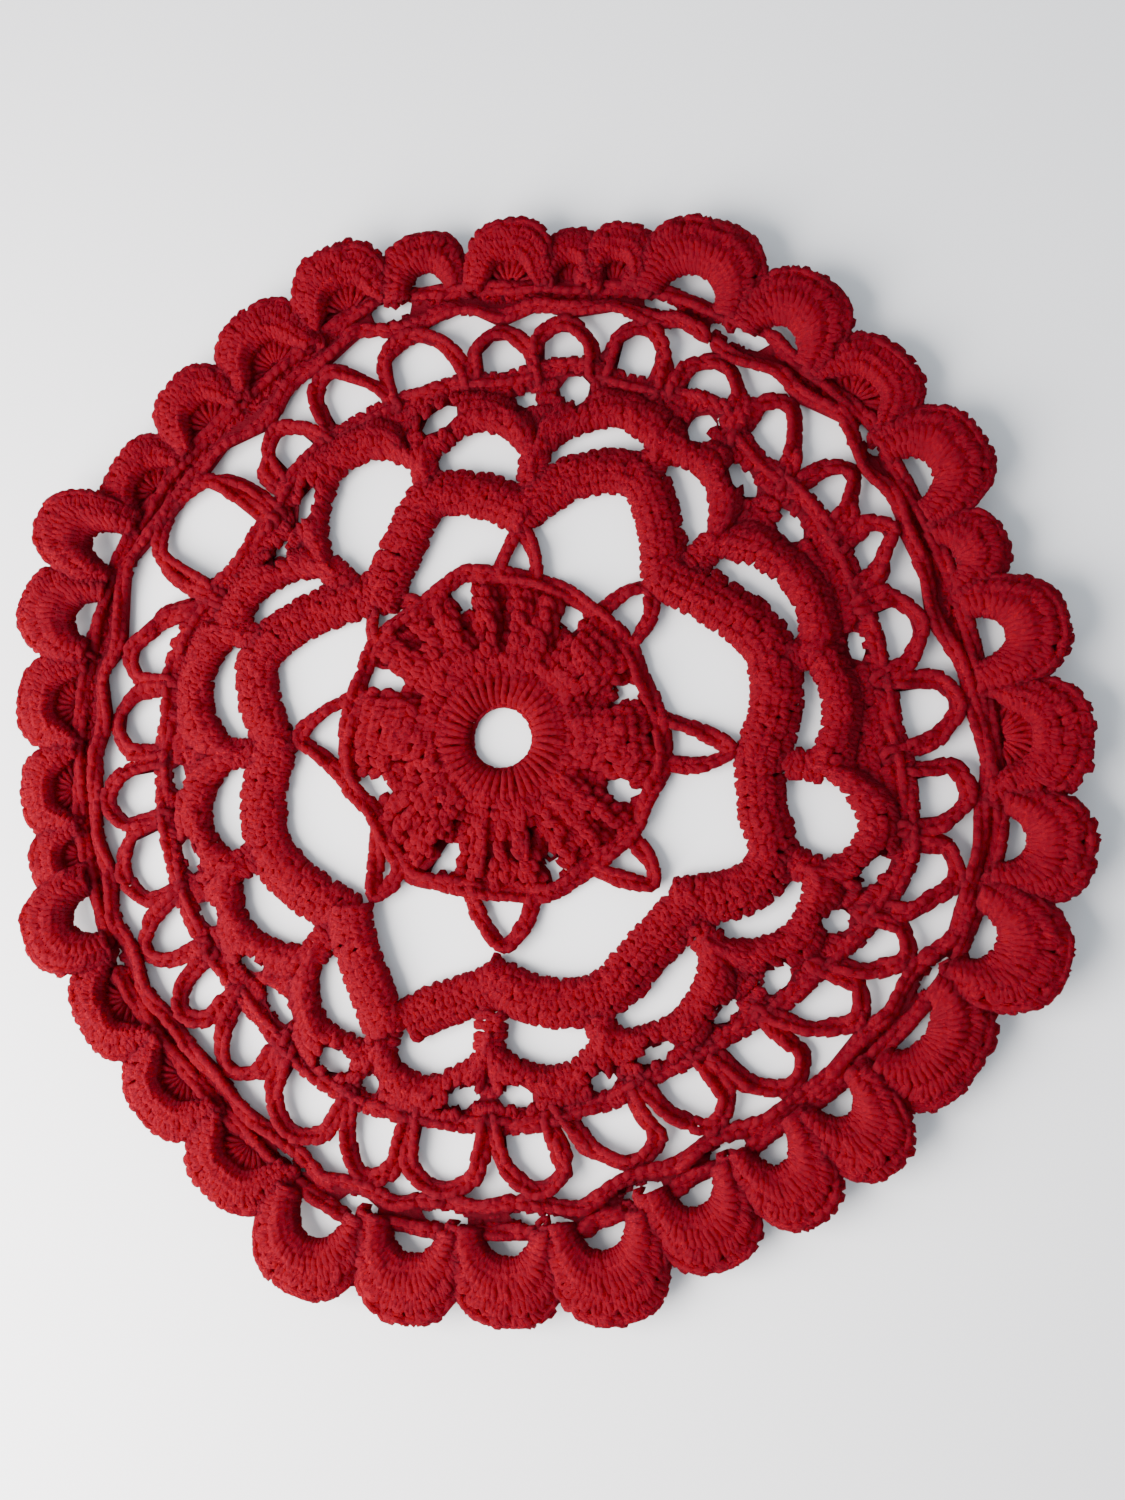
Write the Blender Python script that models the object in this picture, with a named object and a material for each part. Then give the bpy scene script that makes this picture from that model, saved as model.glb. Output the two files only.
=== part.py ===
"""A round crocheted doily, lying flat on a table with its edge curling up.

Everything is laid out in millimetres from the hub of the doily, as an angle in
degrees (anticlockwise from +X, seen from above) and a distance from the hub.
Each band, cord and scallop is a row of cross-sections joined into a closed
body, and one union makes them into the single piece of cotton that it is.
"""

import math

import bmesh
import bpy
import numpy as np

MM = 0.001
NODE_NAME = "doily"

# The hub isn't quite in the middle of the uneven outline.
HUB_X = -3.32
HUB_Y = 4.47

# The layout below is where each edge appears from this point, in mm from the
# hub. What is raised off the table is moved along its line of sight.
EYE = (79.0, -40.6, 316.0)

# Cross-sections: each point is (share of the way across, share of the thickness).
BAND_PROFILE = ((0.0, 0.45), (0.12, 0.0), (0.88, 0.0), (1.0, 0.45), (0.76, 1.0), (0.24, 1.0))
CORD_PROFILE = ((0.0, 0.45), (0.22, 0.0), (0.78, 0.0), (1.0, 0.45), (0.5, 1.0))
ROW_PROFILE = ((0.0, 0.0), (1.0, 0.0), (0.78, 1.0), (0.22, 1.0))
DOUBLE_PROFILE = (
    (0.0, 0.4), (0.08, 0.0), (0.92, 0.0), (1.0, 0.4), (0.84, 0.95), (0.62, 0.6), (0.42, 1.0), (0.12, 0.95),
)

CORD_WIDTH = 3.2
CORD_THICKNESS = 2.6
ROW_THICKNESS = 2.8
BAND_THICKNESS = 3.4
OUTER_BAND_THICKNESS = 3.2
SCALLOP_THICKNESS = 3.2

# The rosette: a hole, a ring of long stitches, then eight puffed petals with a
# notch between each two.
HOLE_RADIUS = 7.2
HOLE_OFFSET = (-0.6, 0.0)
STITCH_RING_RADIUS = 16.5
STITCH_RING_HEIGHT = 2.8
PETAL_CREST_SHARE = 0.74
PETAL_HEIGHT = 5.4
NOTCH_HEIGHT = 3.6
NOTCHES = (
    # degree, distance of its bottom from the hub, half its width in degrees
    (19.0, 25.2, 5.2),
    (60.0, 27.2, 4.8),
    (106.2, 28.4, 4.4),
    (153.6, 26.4, 5.2),
    (199.5, 27.6, 6.4),
    (244.4, 25.6, 4.8),
    (291.5, 27.8, 4.4),
    (335.2, 25.6, 5.6),
)

# The chain edge of the rosette: its distance from the hub at each angle.
ROSETTE_EDGE = (
    # degree, distance
    (10.0, 34.2),
    (22.0, 33.2),
    (33.0, 34.2),
    (55.0, 34.2),
    (66.0, 35.2),
    (77.0, 36.0),
    (96.0, 37.6),
    (104.0, 39.2),
    (113.0, 37.4),
    (122.0, 36.4),
    (143.0, 38.2),
    (154.0, 36.8),
    (165.0, 36.6),
    (184.0, 37.6),
    (195.0, 37.8),
    (206.0, 34.6),
    (218.0, 34.8),
    (235.0, 37.6),
    (246.0, 35.0),
    (257.0, 34.2),
    (272.0, 34.6),
    (288.0, 36.0),
    (300.0, 34.8),
    (314.0, 35.0),
    (325.0, 36.0),
    (336.0, 34.8),
    (350.0, 36.4),
)

# The loops that tie the rosette to the inner band, each from one foot through
# its two shoulders and its tip to the other foot.
LINKS = (
    # foot, shoulder, tip, shoulder, foot: each a degree and a distance
    ((349.0, 37.0), (350.5, 45.0), (355.5, 51.0), (0.5, 44.5), (6.0, 36.0)),
    ((34.0, 36.0), (38.0, 42.5), (45.0, 46.5), (49.5, 42.5), (52.0, 36.0)),
    ((78.0, 37.0), (80.5, 42.5), (86.0, 48.0), (90.0, 43.0), (94.0, 37.0)),
    ((122.0, 37.5), (127.0, 41.0), (133.5, 44.0), (139.5, 42.0), (144.0, 38.5)),
    ((164.0, 38.0), (170.0, 43.5), (178.5, 49.0), (185.0, 43.0), (194.0, 38.5)),
    ((211.0, 35.0), (222.0, 40.5), (229.5, 46.5), (232.0, 42.0), (229.5, 34.5)),
    ((256.0, 34.5), (262.0, 40.5), (270.0, 46.5), (276.5, 42.5), (281.5, 36.5)),
    ((304.0, 35.5), (309.5, 41.5), (315.5, 47.0), (320.0, 43.0), (322.0, 36.5)),
)

LINK_SEGMENTS = 7

# The lobes of the inner band: the middle of the band at its start, its rise,
# its crown, its fall and its end, each a degree and a distance, then half its
# width and how far its underside is raised. Two of them cross at 248 degrees.
INNER_LOBES = (
    ((44.2, 50.2), (53.3, 58.6), (62.3, 65.3), (74.7, 60.9), (86.1, 51.1), 4.9, 0.15),
    ((86.1, 51.6), (95.1, 55.8), (107.0, 58.6), (118.2, 51.0), (131.3, 44.4), 5.0, 0.45),
    ((132.4, 46.0), (147.1, 54.8), (160.3, 62.0), (169.8, 59.4), (180.5, 54.0), 4.9, 0.05),
    ((181.2, 54.4), (191.8, 58.0), (204.0, 60.2), (216.1, 56.9), (226.5, 53.6), 5.2, 0.3),
    ((228.2, 53.0), (232.6, 56.6), (237.4, 60.0), (242.4, 64.2), (247.0, 69.0), 4.9, 1.6),
    ((252.2, 64.6), (256.3, 60.6), (260.5, 58.2), (264.5, 56.4), (269.0, 54.0), 4.7, 0.1),
    ((267.5, 53.4), (278.7, 58.6), (291.3, 60.6), (304.9, 56.4), (317.9, 55.2), 5.1, 0.35),
    ((318.5, 54.4), (326.7, 62.2), (334.8, 64.9), (343.3, 59.4), (353.9, 56.6), 5.1, 0.2),
    ((355.2, 57.0), (6.6, 60.6), (18.1, 61.2), (31.0, 55.6), (43.4, 50.9), 5.5, 0.4),
)
LOBE_SEGMENTS = 9
PINCH_OVERLAP = 2.4

# The sixteen arcs of the outer band. Where an arc starts, the band touches the
# inner band; half way along, it is bowed out.
OUTER_ARCS = (
    # start, inner edge there, inner edge half way along
    (14.0, 66.3, 69.2),
    (41.5, 58.5, 71.8),
    (61.0, 68.8, 73.8),
    (84.0, 59.5, 71.6),
    (107.0, 62.0, 74.0),
    (136.0, 54.0, 66.4),
    (157.5, 66.2, 71.8),
    (182.0, 60.5, 71.9),
    (204.0, 65.5, 71.9),
    (227.5, 60.5, 75.2),
    (248.0, 69.5, 76.6),
    (267.5, 63.5, 72.9),
    (289.0, 65.5, 70.7),
    (315.0, 60.5, 74.0),
    (336.0, 69.5, 79.8),
    (353.5, 65.5, 70.3),
)
ARC_BOW = 0.72
ARC_SEGMENTS = 6

# The loops of the lattice, clockwise. The angles are those of the sides of the
# gap inside each loop, at its foot and near its top. A loop and the next part
# at the fork. The last column is the inner side of the row of chain where it
# spans to the next loop.
ARCHES = (
    # left foot, left top, right top, right foot, foot distance, fork, top, row
    (37.4, 37.2, 34.6, 32.8, 85.4, 90.5, 93.0, 97.6),
    (26.0, 27.6, 25.8, 23.2, 85.4, 90.0, 93.0, 95.4),
    (16.6, 16.6, 11.0, 8.9, 84.2, 92.0, 91.0, 97.7),
    (5.0, 4.6, 0.6, -2.3, 85.6, 93.5, 95.6, 101.8),
    (-7.4, -6.4, -10.6, -12.4, 90.2, 99.5, 98.0, 102.2),
    (-17.2, -16.2, -20.3, -23.2, 92.6, 95.5, 99.2, 103.0),
    (-28.5, -27.6, -30.6, -33.2, 87.8, 93.0, 96.2, 99.6),
    (-38.4, -36.8, -40.6, -44.6, 84.6, 91.0, 94.7, 98.2),
    (-49.2, -48.0, -52.0, -54.6, 82.2, 92.0, 94.7, 97.2),
    (-60.4, -59.4, -63.0, -66.6, 80.9, 88.0, 92.5, 97.2),
    (-71.9, -70.0, -75.2, -79.4, 83.2, 93.0, 93.4, 101.0),
    (-84.7, -83.1, -87.5, -89.9, 85.3, 92.5, 95.8, 100.2),
    (-94.3, -95.2, -101.2, -102.0, 85.2, 92.0, 97.0, 103.2),
    (-106.3, -106.2, -109.4, -112.2, 87.4, 93.0, 98.8, 103.0),
    (-115.8, -116.4, -121.8, -123.6, 86.8, 94.5, 97.4, 99.8),
    (-129.2, -129.0, -132.8, -135.2, 84.8, 87.5, 95.2, 98.2),
    (-139.8, -139.4, -142.4, -143.3, 85.0, 86.0, 94.7, 99.8),
    (-148.8, -149.5, -152.5, -155.1, 84.8, 95.0, 95.0, 99.6),
    (-158.4, -158.6, -165.4, -167.0, 84.2, 96.5, 93.4, 98.4),
    (-170.4, -170.2, -174.5, -176.0, 83.8, 89.0, 94.2, 97.2),
    (-181.0, -180.8, -186.5, -188.2, 82.8, 98.0, 91.8, 98.0),
    (-192.5, -191.6, -196.4, -201.6, 84.2, 90.0, 91.6, 100.8),
    (-209.0, -210.0, -219.8, -221.2, 78.4, 88.0, 97.6, 97.4),
    (-231.0, -231.2, -235.0, -237.0, 83.8, 89.5, 90.8, 98.6),
    (-241.5, -242.0, -245.2, -249.8, 84.4, 87.0, 95.4, 102.4),
    (-252.8, -253.2, -259.2, -262.2, 84.4, 86.0, 95.2, 99.4),
    (-266.6, -266.8, -271.4, -273.5, 83.9, 89.5, 91.8, 98.2),
    (-276.0, -276.2, -280.6, -282.2, 86.8, 93.0, 93.6, 99.2),
    (-287.2, -287.4, -291.2, -291.8, 85.8, 89.5, 95.6, 99.6),
    (-298.4, -298.6, -303.5, -304.4, 87.8, 92.0, 94.0, 99.2),
    (-310.8, -309.8, -313.2, -316.5, 84.2, 88.0, 94.0, 100.6),
)
ARCH_SEGMENTS = 9
ROOT_WIDTHS = (3.2, 6.0)
FORK_OVERLAP = 0.5
FOOT_DEPTH = 1.8

# The small gaps that are cut through the rows of chain.
SMALL_GAPS = (
    # degree, distance, half length, half height, turned by
    (35.2, 77.8, 4.2, 2.0, 0.0),
    (13.0, 79.3, 3.2, 1.5, 0.0),
    (339.3, 85.3, 4.4, 1.5, 24.0),
    (330.5, 82.4, 2.7, 2.3, 20.0),
    (318.2, 79.0, 4.0, 2.0, 8.0),
    (309.0, 76.8, 3.4, 1.4, 0.0),
    (296.0, 76.3, 4.4, 1.4, 0.0),
    (286.5, 77.8, 2.8, 1.6, -12.0),
    (272.0, 78.4, 4.0, 2.2, 8.0),
    (263.5, 79.2, 3.6, 2.2, -24.0),
    (248.0, 82.0, 2.5, 1.8, 10.0),
    (241.5, 81.2, 3.8, 2.3, -8.0),
    (228.5, 79.0, 5.0, 1.9, 14.0),
    (220.3, 77.3, 3.2, 1.4, -26.0),
    (208.8, 79.7, 3.8, 1.7, 0.0),
    (199.0, 78.8, 4.2, 1.5, 0.0),
    (185.3, 78.5, 3.0, 1.2, 0.0),
    (140.2, 70.6, 3.2, 1.4, -10.0),
    (135.3, 82.5, 1.8, 4.0, 28.0),
    (130.8, 74.0, 4.8, 1.6, -28.0),
    (102.0, 76.2, 5.0, 2.0, -22.0),
    (86.3, 77.8, 2.8, 1.4, 0.0),
    (78.5, 80.5, 3.2, 3.2, -20.0),
    (56.5, 81.3, 2.8, 3.2, 10.0),
    (46.0, 77.3, 4.6, 1.7, 14.0),
    (54.0, 85.4, 1.5, 2.3, 30.0),
    (37.8, 102.6, 4.2, 1.4, 12.0),
    (330.5, 105.2, 5.0, 1.5, 16.0),
    (298.8, 100.9, 4.2, 1.6, 6.0),
    (287.5, 102.2, 4.5, 1.8, 0.0),
    (274.8, 104.6, 7.6, 1.6, 12.0),
    (263.0, 104.8, 5.4, 1.6, 0.0),
    (252.5, 108.0, 4.6, 2.3, 0.0),
    (242.5, 105.0, 4.6, 1.1, 6.0),
    (207.8, 104.6, 2.8, 1.6, 0.0),
    (105.2, 105.4, 5.0, 2.8, 0.0),
    (69.8, 103.8, 4.0, 1.5, 0.0),
    (59.0, 103.5, 7.2, 2.2, -8.0),
    (63.3, 98.0, 3.5, 1.3, 0.0),
)
GAP_SIDES = 7

# The scallops of the edge, clockwise. Half width is an angle; the others are
# distances from the hub, and how far the tip is raised off the table.
SCALLOPS = (
    # degree, half width, chain below, top of opening, tip, raised
    (42.7, 5.9, 105.4, 106.4, 122.0, 4.6),
    (31.0, 5.8, 103.4, 110.2, 122.8, 5.4),
    (20.2, 4.2, 103.0, 105.2, 116.8, 3.0),
    (10.2, 5.3, 103.2, 111.0, 123.6, 6.0),
    (358.6, 6.1, 105.2, 106.2, 125.8, 6.0),
    (347.4, 5.2, 108.8, 114.4, 128.2, 6.6),
    (336.4, 5.6, 107.6, 114.6, 129.2, 7.4),
    (324.4, 6.9, 106.2, 110.2, 123.0, 3.6),
    (312.6, 4.6, 103.4, 109.8, 124.2, 4.6),
    (303.5, 4.8, 102.2, 109.4, 123.2, 4.4),
    (293.2, 5.4, 102.8, 109.4, 122.8, 3.2),
    (281.7, 5.8, 105.8, 113.0, 127.9, 3.8),
    (270.6, 5.6, 106.8, 112.8, 127.2, 2.6),
    (259.7, 5.5, 108.4, 114.8, 129.6, 3.4),
    (248.5, 5.7, 110.2, 119.2, 131.6, 4.2),
    (237.0, 6.0, 106.4, 107.4, 123.4, 3.4),
    (225.2, 6.0, 105.4, 106.4, 121.0, 2.4),
    (213.0, 6.1, 106.0, 107.0, 120.8, 3.0),
    (201.6, 5.2, 105.0, 112.4, 125.2, 6.4),
    (193.8, 4.2, 104.4, 105.4, 119.2, 2.2),
    (185.1, 5.5, 104.4, 105.4, 119.5, 3.2),
    (174.0, 5.6, 104.5, 105.5, 121.6, 3.4),
    (163.1, 5.2, 105.5, 111.8, 126.4, 4.4),
    (153.6, 4.6, 106.2, 115.6, 131.2, 7.2),
    (144.2, 5.5, 105.5, 106.5, 120.4, 3.0),
    (133.1, 5.2, 105.0, 106.0, 122.6, 4.6),
    (121.9, 5.8, 106.0, 107.0, 124.2, 4.2),
    (110.4, 5.6, 108.6, 109.6, 127.6, 7.6),
    (100.2, 4.7, 107.0, 112.6, 122.1, 3.4),
    (89.6, 5.0, 105.0, 106.0, 122.3, 7.2),
    (81.8, 3.6, 104.8, 105.8, 119.3, 2.4),
    (76.2, 4.0, 106.0, 107.0, 121.9, 4.4),
    (66.7, 6.7, 106.6, 113.6, 126.7, 5.4),
    (54.3, 5.7, 105.4, 110.8, 124.6, 5.0),
)
SCALLOP_SEGMENTS = 7
SCALLOP_SPREAD = 97.0
SCALLOP_SQUARENESS = 2.7
SCALLOP_OVERLAP = 1.18
OPENING_SHARE = 0.44
LEAST_OPENING = 1.2
CROWN_TO_ROW = 2.6
CHAIN_BEYOND = 1.2

# How unevenly the underside lies on the table.
UNEVEN = 0.9
UNEVEN_FROM = 40.0
UNEVEN_OVER = 60.0
FOLDS = 7.0

# Share of the triangles kept once the pieces are joined.
KEPT_SHARE = 0.56

COTTON_RED = (0.32, 0.005, 0.012, 1.0)
COTTON_ROUGHNESS = 0.9


def polar(degree, distance):
    """The point in mm that lies at this angle and distance from the hub."""
    turn = np.radians(degree)
    return np.stack([distance * np.cos(turn), distance * np.sin(turn)], axis=-1)


def rise(points):
    """How far in mm the underside is off the table at these points: not at all in the middle."""
    x, y = points[..., 0], points[..., 1]
    distance = np.hypot(x, y)
    share = np.clip((distance - UNEVEN_FROM) / UNEVEN_OVER, 0.0, 1.0)
    wave = 0.5 + 0.5 * np.sin(FOLDS * np.arctan2(y, x) + 0.11 * distance)
    return UNEVEN * share * wave


def in_sight(points, heights, thickness):
    """The points given heights, each moved to where it still appears at its place in the layout."""
    heights = np.broadcast_to(heights, points.shape[:-1])
    share = ((heights + thickness * 0.45) / EYE[2])[..., None]
    moved = points + (np.array(EYE[:2]) - points) * share
    return np.concatenate([moved, heights[..., None]], axis=-1)


def raised(points, height, thickness):
    """The points at a height above the uneven table."""
    return in_sight(points, rise(points) + height, thickness)


def line_through(points, segments):
    """A smooth line through the points, as segments + 1 points, that never loops where they crowd."""
    points = np.asarray(points, float)
    ends = (2.0 * points[:1] - points[1:2], points, 2.0 * points[-1:] - points[-2:-1])
    padded = np.concatenate(ends)
    steps = np.diff(padded, axis=0)
    gaps = np.sqrt(np.linalg.norm(steps, axis=1))[:, None]
    slopes = steps / gaps
    across = (padded[2:] - padded[:-2]) / (gaps[:-1] + gaps[1:])
    tangents = slopes[:-1] + slopes[1:] - across
    places = np.linspace(0.0, len(points) - 1.0, segments + 1)
    first = np.minimum(places.astype(int), len(points) - 2)
    t = (places - first)[:, None]
    start, move = points[first], points[first + 1] - points[first]
    leave, arrive = tangents[first] * gaps[first + 1], tangents[first + 1] * gaps[first + 1]
    bend = (3.0 * move - 2.0 * leave - arrive) * t**2 + (leave + arrive - 2.0 * move) * t**3
    return start + leave * t + bend


def sides_of(line, width):
    """The left and right edges of a strip of this width along a line."""
    along = np.gradient(line, axis=0)
    along /= np.linalg.norm(along, axis=1)[:, None]
    across = np.stack([along[:, 1], -along[:, 0]], axis=1)
    return line - across * width / 2.0, line + across * width / 2.0


def solid(name, sections, closed):
    """An object whose mesh joins the sections, each an array of points, end to end."""
    count, around = sections.shape[:2]
    points = sections.reshape(-1, 3) + np.array([HUB_X, HUB_Y, 0.0])
    faces = []
    for section in range(count if closed else count - 1):
        following = (section + 1) % count
        for corner in range(around):
            beside = (corner + 1) % around
            near = (section * around + corner, section * around + beside)
            far = (following * around + beside, following * around + corner)
            faces.append(near + far)
    if not closed:
        faces.append(tuple(range(around))[::-1])
        faces.append(tuple((count - 1) * around + corner for corner in range(around)))
    mesh = bpy.data.meshes.new(name)
    mesh.from_pydata((points * MM).tolist(), [], faces)
    shape = bmesh.new()
    shape.from_mesh(mesh)
    bmesh.ops.triangulate(shape, faces=shape.faces[:])
    bmesh.ops.recalc_face_normals(shape, faces=shape.faces[:])
    shape.to_mesh(mesh)
    shape.free()
    mesh.shade_smooth()
    return bpy.data.objects.new(name, mesh)


def strip(name, left, right, thickness, profile, closed=False):
    """A solid with this profile at each section, laid from its left point to its right."""
    across = right - left
    along = across / np.linalg.norm(across, axis=1)[:, None]
    normal = np.array([0.0, 0.0, 1.0]) - along * along[:, 2:]
    normal /= np.linalg.norm(normal, axis=1)[:, None]
    corners = [left + across * s + normal * thickness * h for s, h in profile]
    return solid(name, np.stack(corners, axis=1), closed)


def cord(name, points, segments, height):
    """A cord of chain stitches through the points."""
    left, right = sides_of(line_through(points, segments), CORD_WIDTH)
    left = raised(left, height, CORD_THICKNESS)
    right = raised(right, height, CORD_THICKNESS)
    return strip(name, left, right, CORD_THICKNESS, CORD_PROFILE)


def ring(name, degrees, inner, outer, height, thickness, profile):
    """A closed strip all the way round the hub."""
    inside = raised(polar(degrees, inner), height, thickness)
    outside = raised(polar(degrees, outer), height, thickness)
    return strip(name, inside, outside, thickness, profile, True)


def rosette():
    """The thick middle: long stitches round the hole, then petals that puff up."""
    degrees, rims, crests = [], [], []
    edge_degrees, edge_distances = np.array(ROSETTE_EDGE).T
    for number, (degree, bottom, half) in enumerate(NOTCHES):
        following = NOTCHES[(number + 1) % len(NOTCHES)]
        span = (following[0] - degree) % 360.0
        turns = (0.0, 0.5 * half, half, span / 2.0, span - following[2], span - 0.5 * following[2])
        for turn, depth in zip(turns, (1.0, 0.8, 0.0, 0.0, 0.0, 0.8)):
            lowest = bottom if turn < span / 2.0 else following[1]
            rim = np.interp(degree + turn, edge_degrees, edge_distances, period=360.0) - 0.9
            degrees.append(degree + turn)
            rims.append(rim + (lowest - rim) * depth)
            crests.append(PETAL_HEIGHT + (NOTCH_HEIGHT - PETAL_HEIGHT) * depth)
    degrees, rims, crests = np.array(degrees), np.array(rims), np.array(crests)
    hole = polar(degrees, HOLE_RADIUS) + HOLE_OFFSET
    levels = (
        (hole, 0.0),
        (polar(degrees, rims - 1.4), 0.0),
        (polar(degrees, rims), 1.6),
        (polar(degrees, rims * PETAL_CREST_SHARE), crests),
        (polar(degrees, STITCH_RING_RADIUS), STITCH_RING_HEIGHT),
        (hole + polar(degrees, 1.0), STITCH_RING_HEIGHT - 0.6),
    )
    sections = [in_sight(points, heights, 0.0) for points, heights in levels]
    return solid(NODE_NAME, np.stack(sections, axis=1), True)


def rosette_trim():
    """The chain edge round the petals, and the loops that tie it to the inner band."""
    degrees, distances = np.array(ROSETTE_EDGE).T
    half = CORD_WIDTH / 2.0
    inner, outer = distances - half, distances + half
    pieces = [ring("rosette_edge", degrees, inner, outer, 0.7, ROW_THICKNESS, ROW_PROFILE)]
    for number, link in enumerate(LINKS):
        points = polar(*np.array(link).T)
        pieces.append(cord(f"link_{number}", points, LINK_SEGMENTS, 0.55 + 0.07 * (number % 3)))
    return pieces


def inner_band():
    """The lobes of close crochet round the rosette, each a body from pinch to pinch."""
    pieces = []
    for number, (start, up, crown, down, end, half_width, height) in enumerate(INNER_LOBES):
        points = polar(*np.array((start, up, crown, down, end)).T)
        for last, inward in ((0, 1), (-1, -2)):
            beyond = points[last] - points[inward]
            points[last] += beyond * PINCH_OVERLAP / np.linalg.norm(beyond)
        left, right = sides_of(line_through(points, LOBE_SEGMENTS), 2.0 * half_width)
        left = raised(left, height, BAND_THICKNESS)
        right = raised(right, height, BAND_THICKNESS)
        pieces.append(strip(f"inner_lobe_{number}", left, right, BAND_THICKNESS, BAND_PROFILE))
    return pieces


def foot_row():
    """The outer side of the row that the lattice stands on: angles and distances."""
    nodes = []
    for number, (left_foot, _, _, right_foot, foot, _, _, _) in enumerate(ARCHES):
        after = ARCHES[(number + 1) % len(ARCHES)]
        next_foot = after[0] - 360.0 * (number + 1 == len(ARCHES))
        nodes.append(((left_foot + right_foot) / 2.0, foot))
        nodes.append(((next_foot + right_foot) / 2.0, (foot + after[4]) / 2.0 + 0.8))
    return np.array(nodes[::-1]).T


def outer_band():
    """The second band: arcs that touch the inner band, and the row that edges them outside."""
    degrees, inner = [], []
    for number, (start, touch, bowed) in enumerate(OUTER_ARCS):
        next_start, next_touch, _ = OUTER_ARCS[(number + 1) % len(OUTER_ARCS)]
        span = (next_start - start) % 360.0
        for step in range(ARC_SEGMENTS):
            t = step / ARC_SEGMENTS
            bow = math.sin(math.pi * t) ** ARC_BOW
            degrees.append(start + span * t)
            inner.append(touch + (next_touch - touch) * t + (bowed - (touch + next_touch) / 2.0) * bow)
    degrees = np.array(degrees)
    outer = np.interp(degrees, *foot_row(), period=360.0)
    thickness = OUTER_BAND_THICKNESS
    return [ring("outer_band", degrees, np.array(inner), outer, 0.5, thickness, DOUBLE_PROFILE)]


def lattice():
    """The loops of chain outside the bands."""
    pieces = []
    for number, arch in enumerate(ARCHES):
        left_foot, left_top, right_top, right_foot, foot, fork_after, top, _ = arch
        before, after = ARCHES[number - 1], ARCHES[(number + 1) % len(ARCHES)]
        to_left = math.radians((before[3] - left_foot) % 360.0) * foot / 2.0 + FORK_OVERLAP
        to_right = math.radians((right_foot - after[0]) % 360.0) * foot / 2.0 + FORK_OVERLAP
        to_left, to_right = np.clip((to_left, to_right), *ROOT_WIDTHS)
        left_fork, right_fork = np.minimum((before[5], fork_after), top - 1.6)
        left_way = (left_fork - foot) / (top - foot)
        right_way = (right_fork - foot) / (top - foot)
        left_side = left_foot + (left_top - left_foot) * left_way
        right_side = right_foot + (right_top - right_foot) * right_way
        crown = (left_top + right_top) / 2.0
        low, high = foot - FOOT_DEPTH, top - 2.4
        degrees = np.array([left_foot, left_side, left_top, crown, right_top, right_side, right_foot])
        left_bend, right_bend = np.minimum((left_fork, right_fork), high - 0.6)
        inside = np.array([low, left_bend, high, top, high, right_bend, low])
        slim = CORD_WIDTH - 0.4
        widths = np.array([to_left, max(to_left, slim), slim, 0.0, -slim, -max(to_right, slim), -to_right])
        outside = np.array([low, left_fork, top - 1.0, top + CORD_WIDTH, top - 1.0, right_fork, low])
        left = line_through(polar(degrees + np.degrees(widths / foot), outside), ARCH_SEGMENTS)
        right = line_through(polar(degrees, inside), ARCH_SEGMENTS)
        height = 0.8 + 0.14 * (2 * number % 5)
        left, right = raised(left, height, CORD_THICKNESS), raised(right, height, CORD_THICKNESS)
        pieces.append(strip(f"arch_{number}", left, right, CORD_THICKNESS, CORD_PROFILE))
    return pieces


def scallop(name, degree, half_width, below, opening, tip, lift):
    """One fan of stitches: sections set round its opening like the ribs of a shell."""
    half = math.radians(half_width) * tip * 0.94 * SCALLOP_OVERLAP
    reach = tip - below
    hollow = max(opening - below, LEAST_OPENING)
    turns = np.radians(np.linspace(-SCALLOP_SPREAD, SCALLOP_SPREAD, SCALLOP_SEGMENTS + 1))
    side, out = np.sin(turns), np.cos(turns)
    power = SCALLOP_SQUARENESS
    size = (np.abs(side / half) ** power + np.abs(out / reach) ** power) ** (-1.0 / power)
    gap = ((side / (half * OPENING_SHARE)) ** 2 + (out / hollow) ** 2) ** -0.5

    outward = polar(degree, 1.0)
    sideways = np.array([outward[1], -outward[0]])
    fan = side[:, None] * sideways + out[:, None] * outward
    near = polar(degree, below) + fan * gap[:, None]
    far = polar(degree, below) + fan * size[:, None]
    up = np.clip(out, 0.0, 1.0) * lift
    left = raised(near, 0.9 + 0.25 * up, SCALLOP_THICKNESS)
    right = raised(far, 0.9 + up, SCALLOP_THICKNESS)
    return strip(name, left, right, SCALLOP_THICKNESS, CORD_PROFILE)


def edging():
    """The two rows of chain round the lattice, and the scallops worked into them."""
    degrees, inner = [], []
    for number, (_, left_top, right_top, right_foot, _, _, top, span) in enumerate(ARCHES):
        next_foot = ARCHES[(number + 1) % len(ARCHES)][0] - 360.0 * (number + 1 == len(ARCHES))
        degrees += [(left_top + right_top) / 2.0, (next_foot + right_foot) / 2.0]
        inner += [min(top + CROWN_TO_ROW, span), span]
    degrees, inner = np.array(degrees[::-1]), np.array(inner[::-1])
    table = np.array(SCALLOPS)
    outer = np.interp(degrees, table[:, 0], table[:, 2], period=360.0) + CHAIN_BEYOND
    pieces = [ring("edge_rows", degrees, inner, outer, 0.8, ROW_THICKNESS, DOUBLE_PROFILE)]
    for number, shape in enumerate(SCALLOPS):
        pieces.append(scallop(f"scallop_{number}", *shape))
    return pieces


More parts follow.
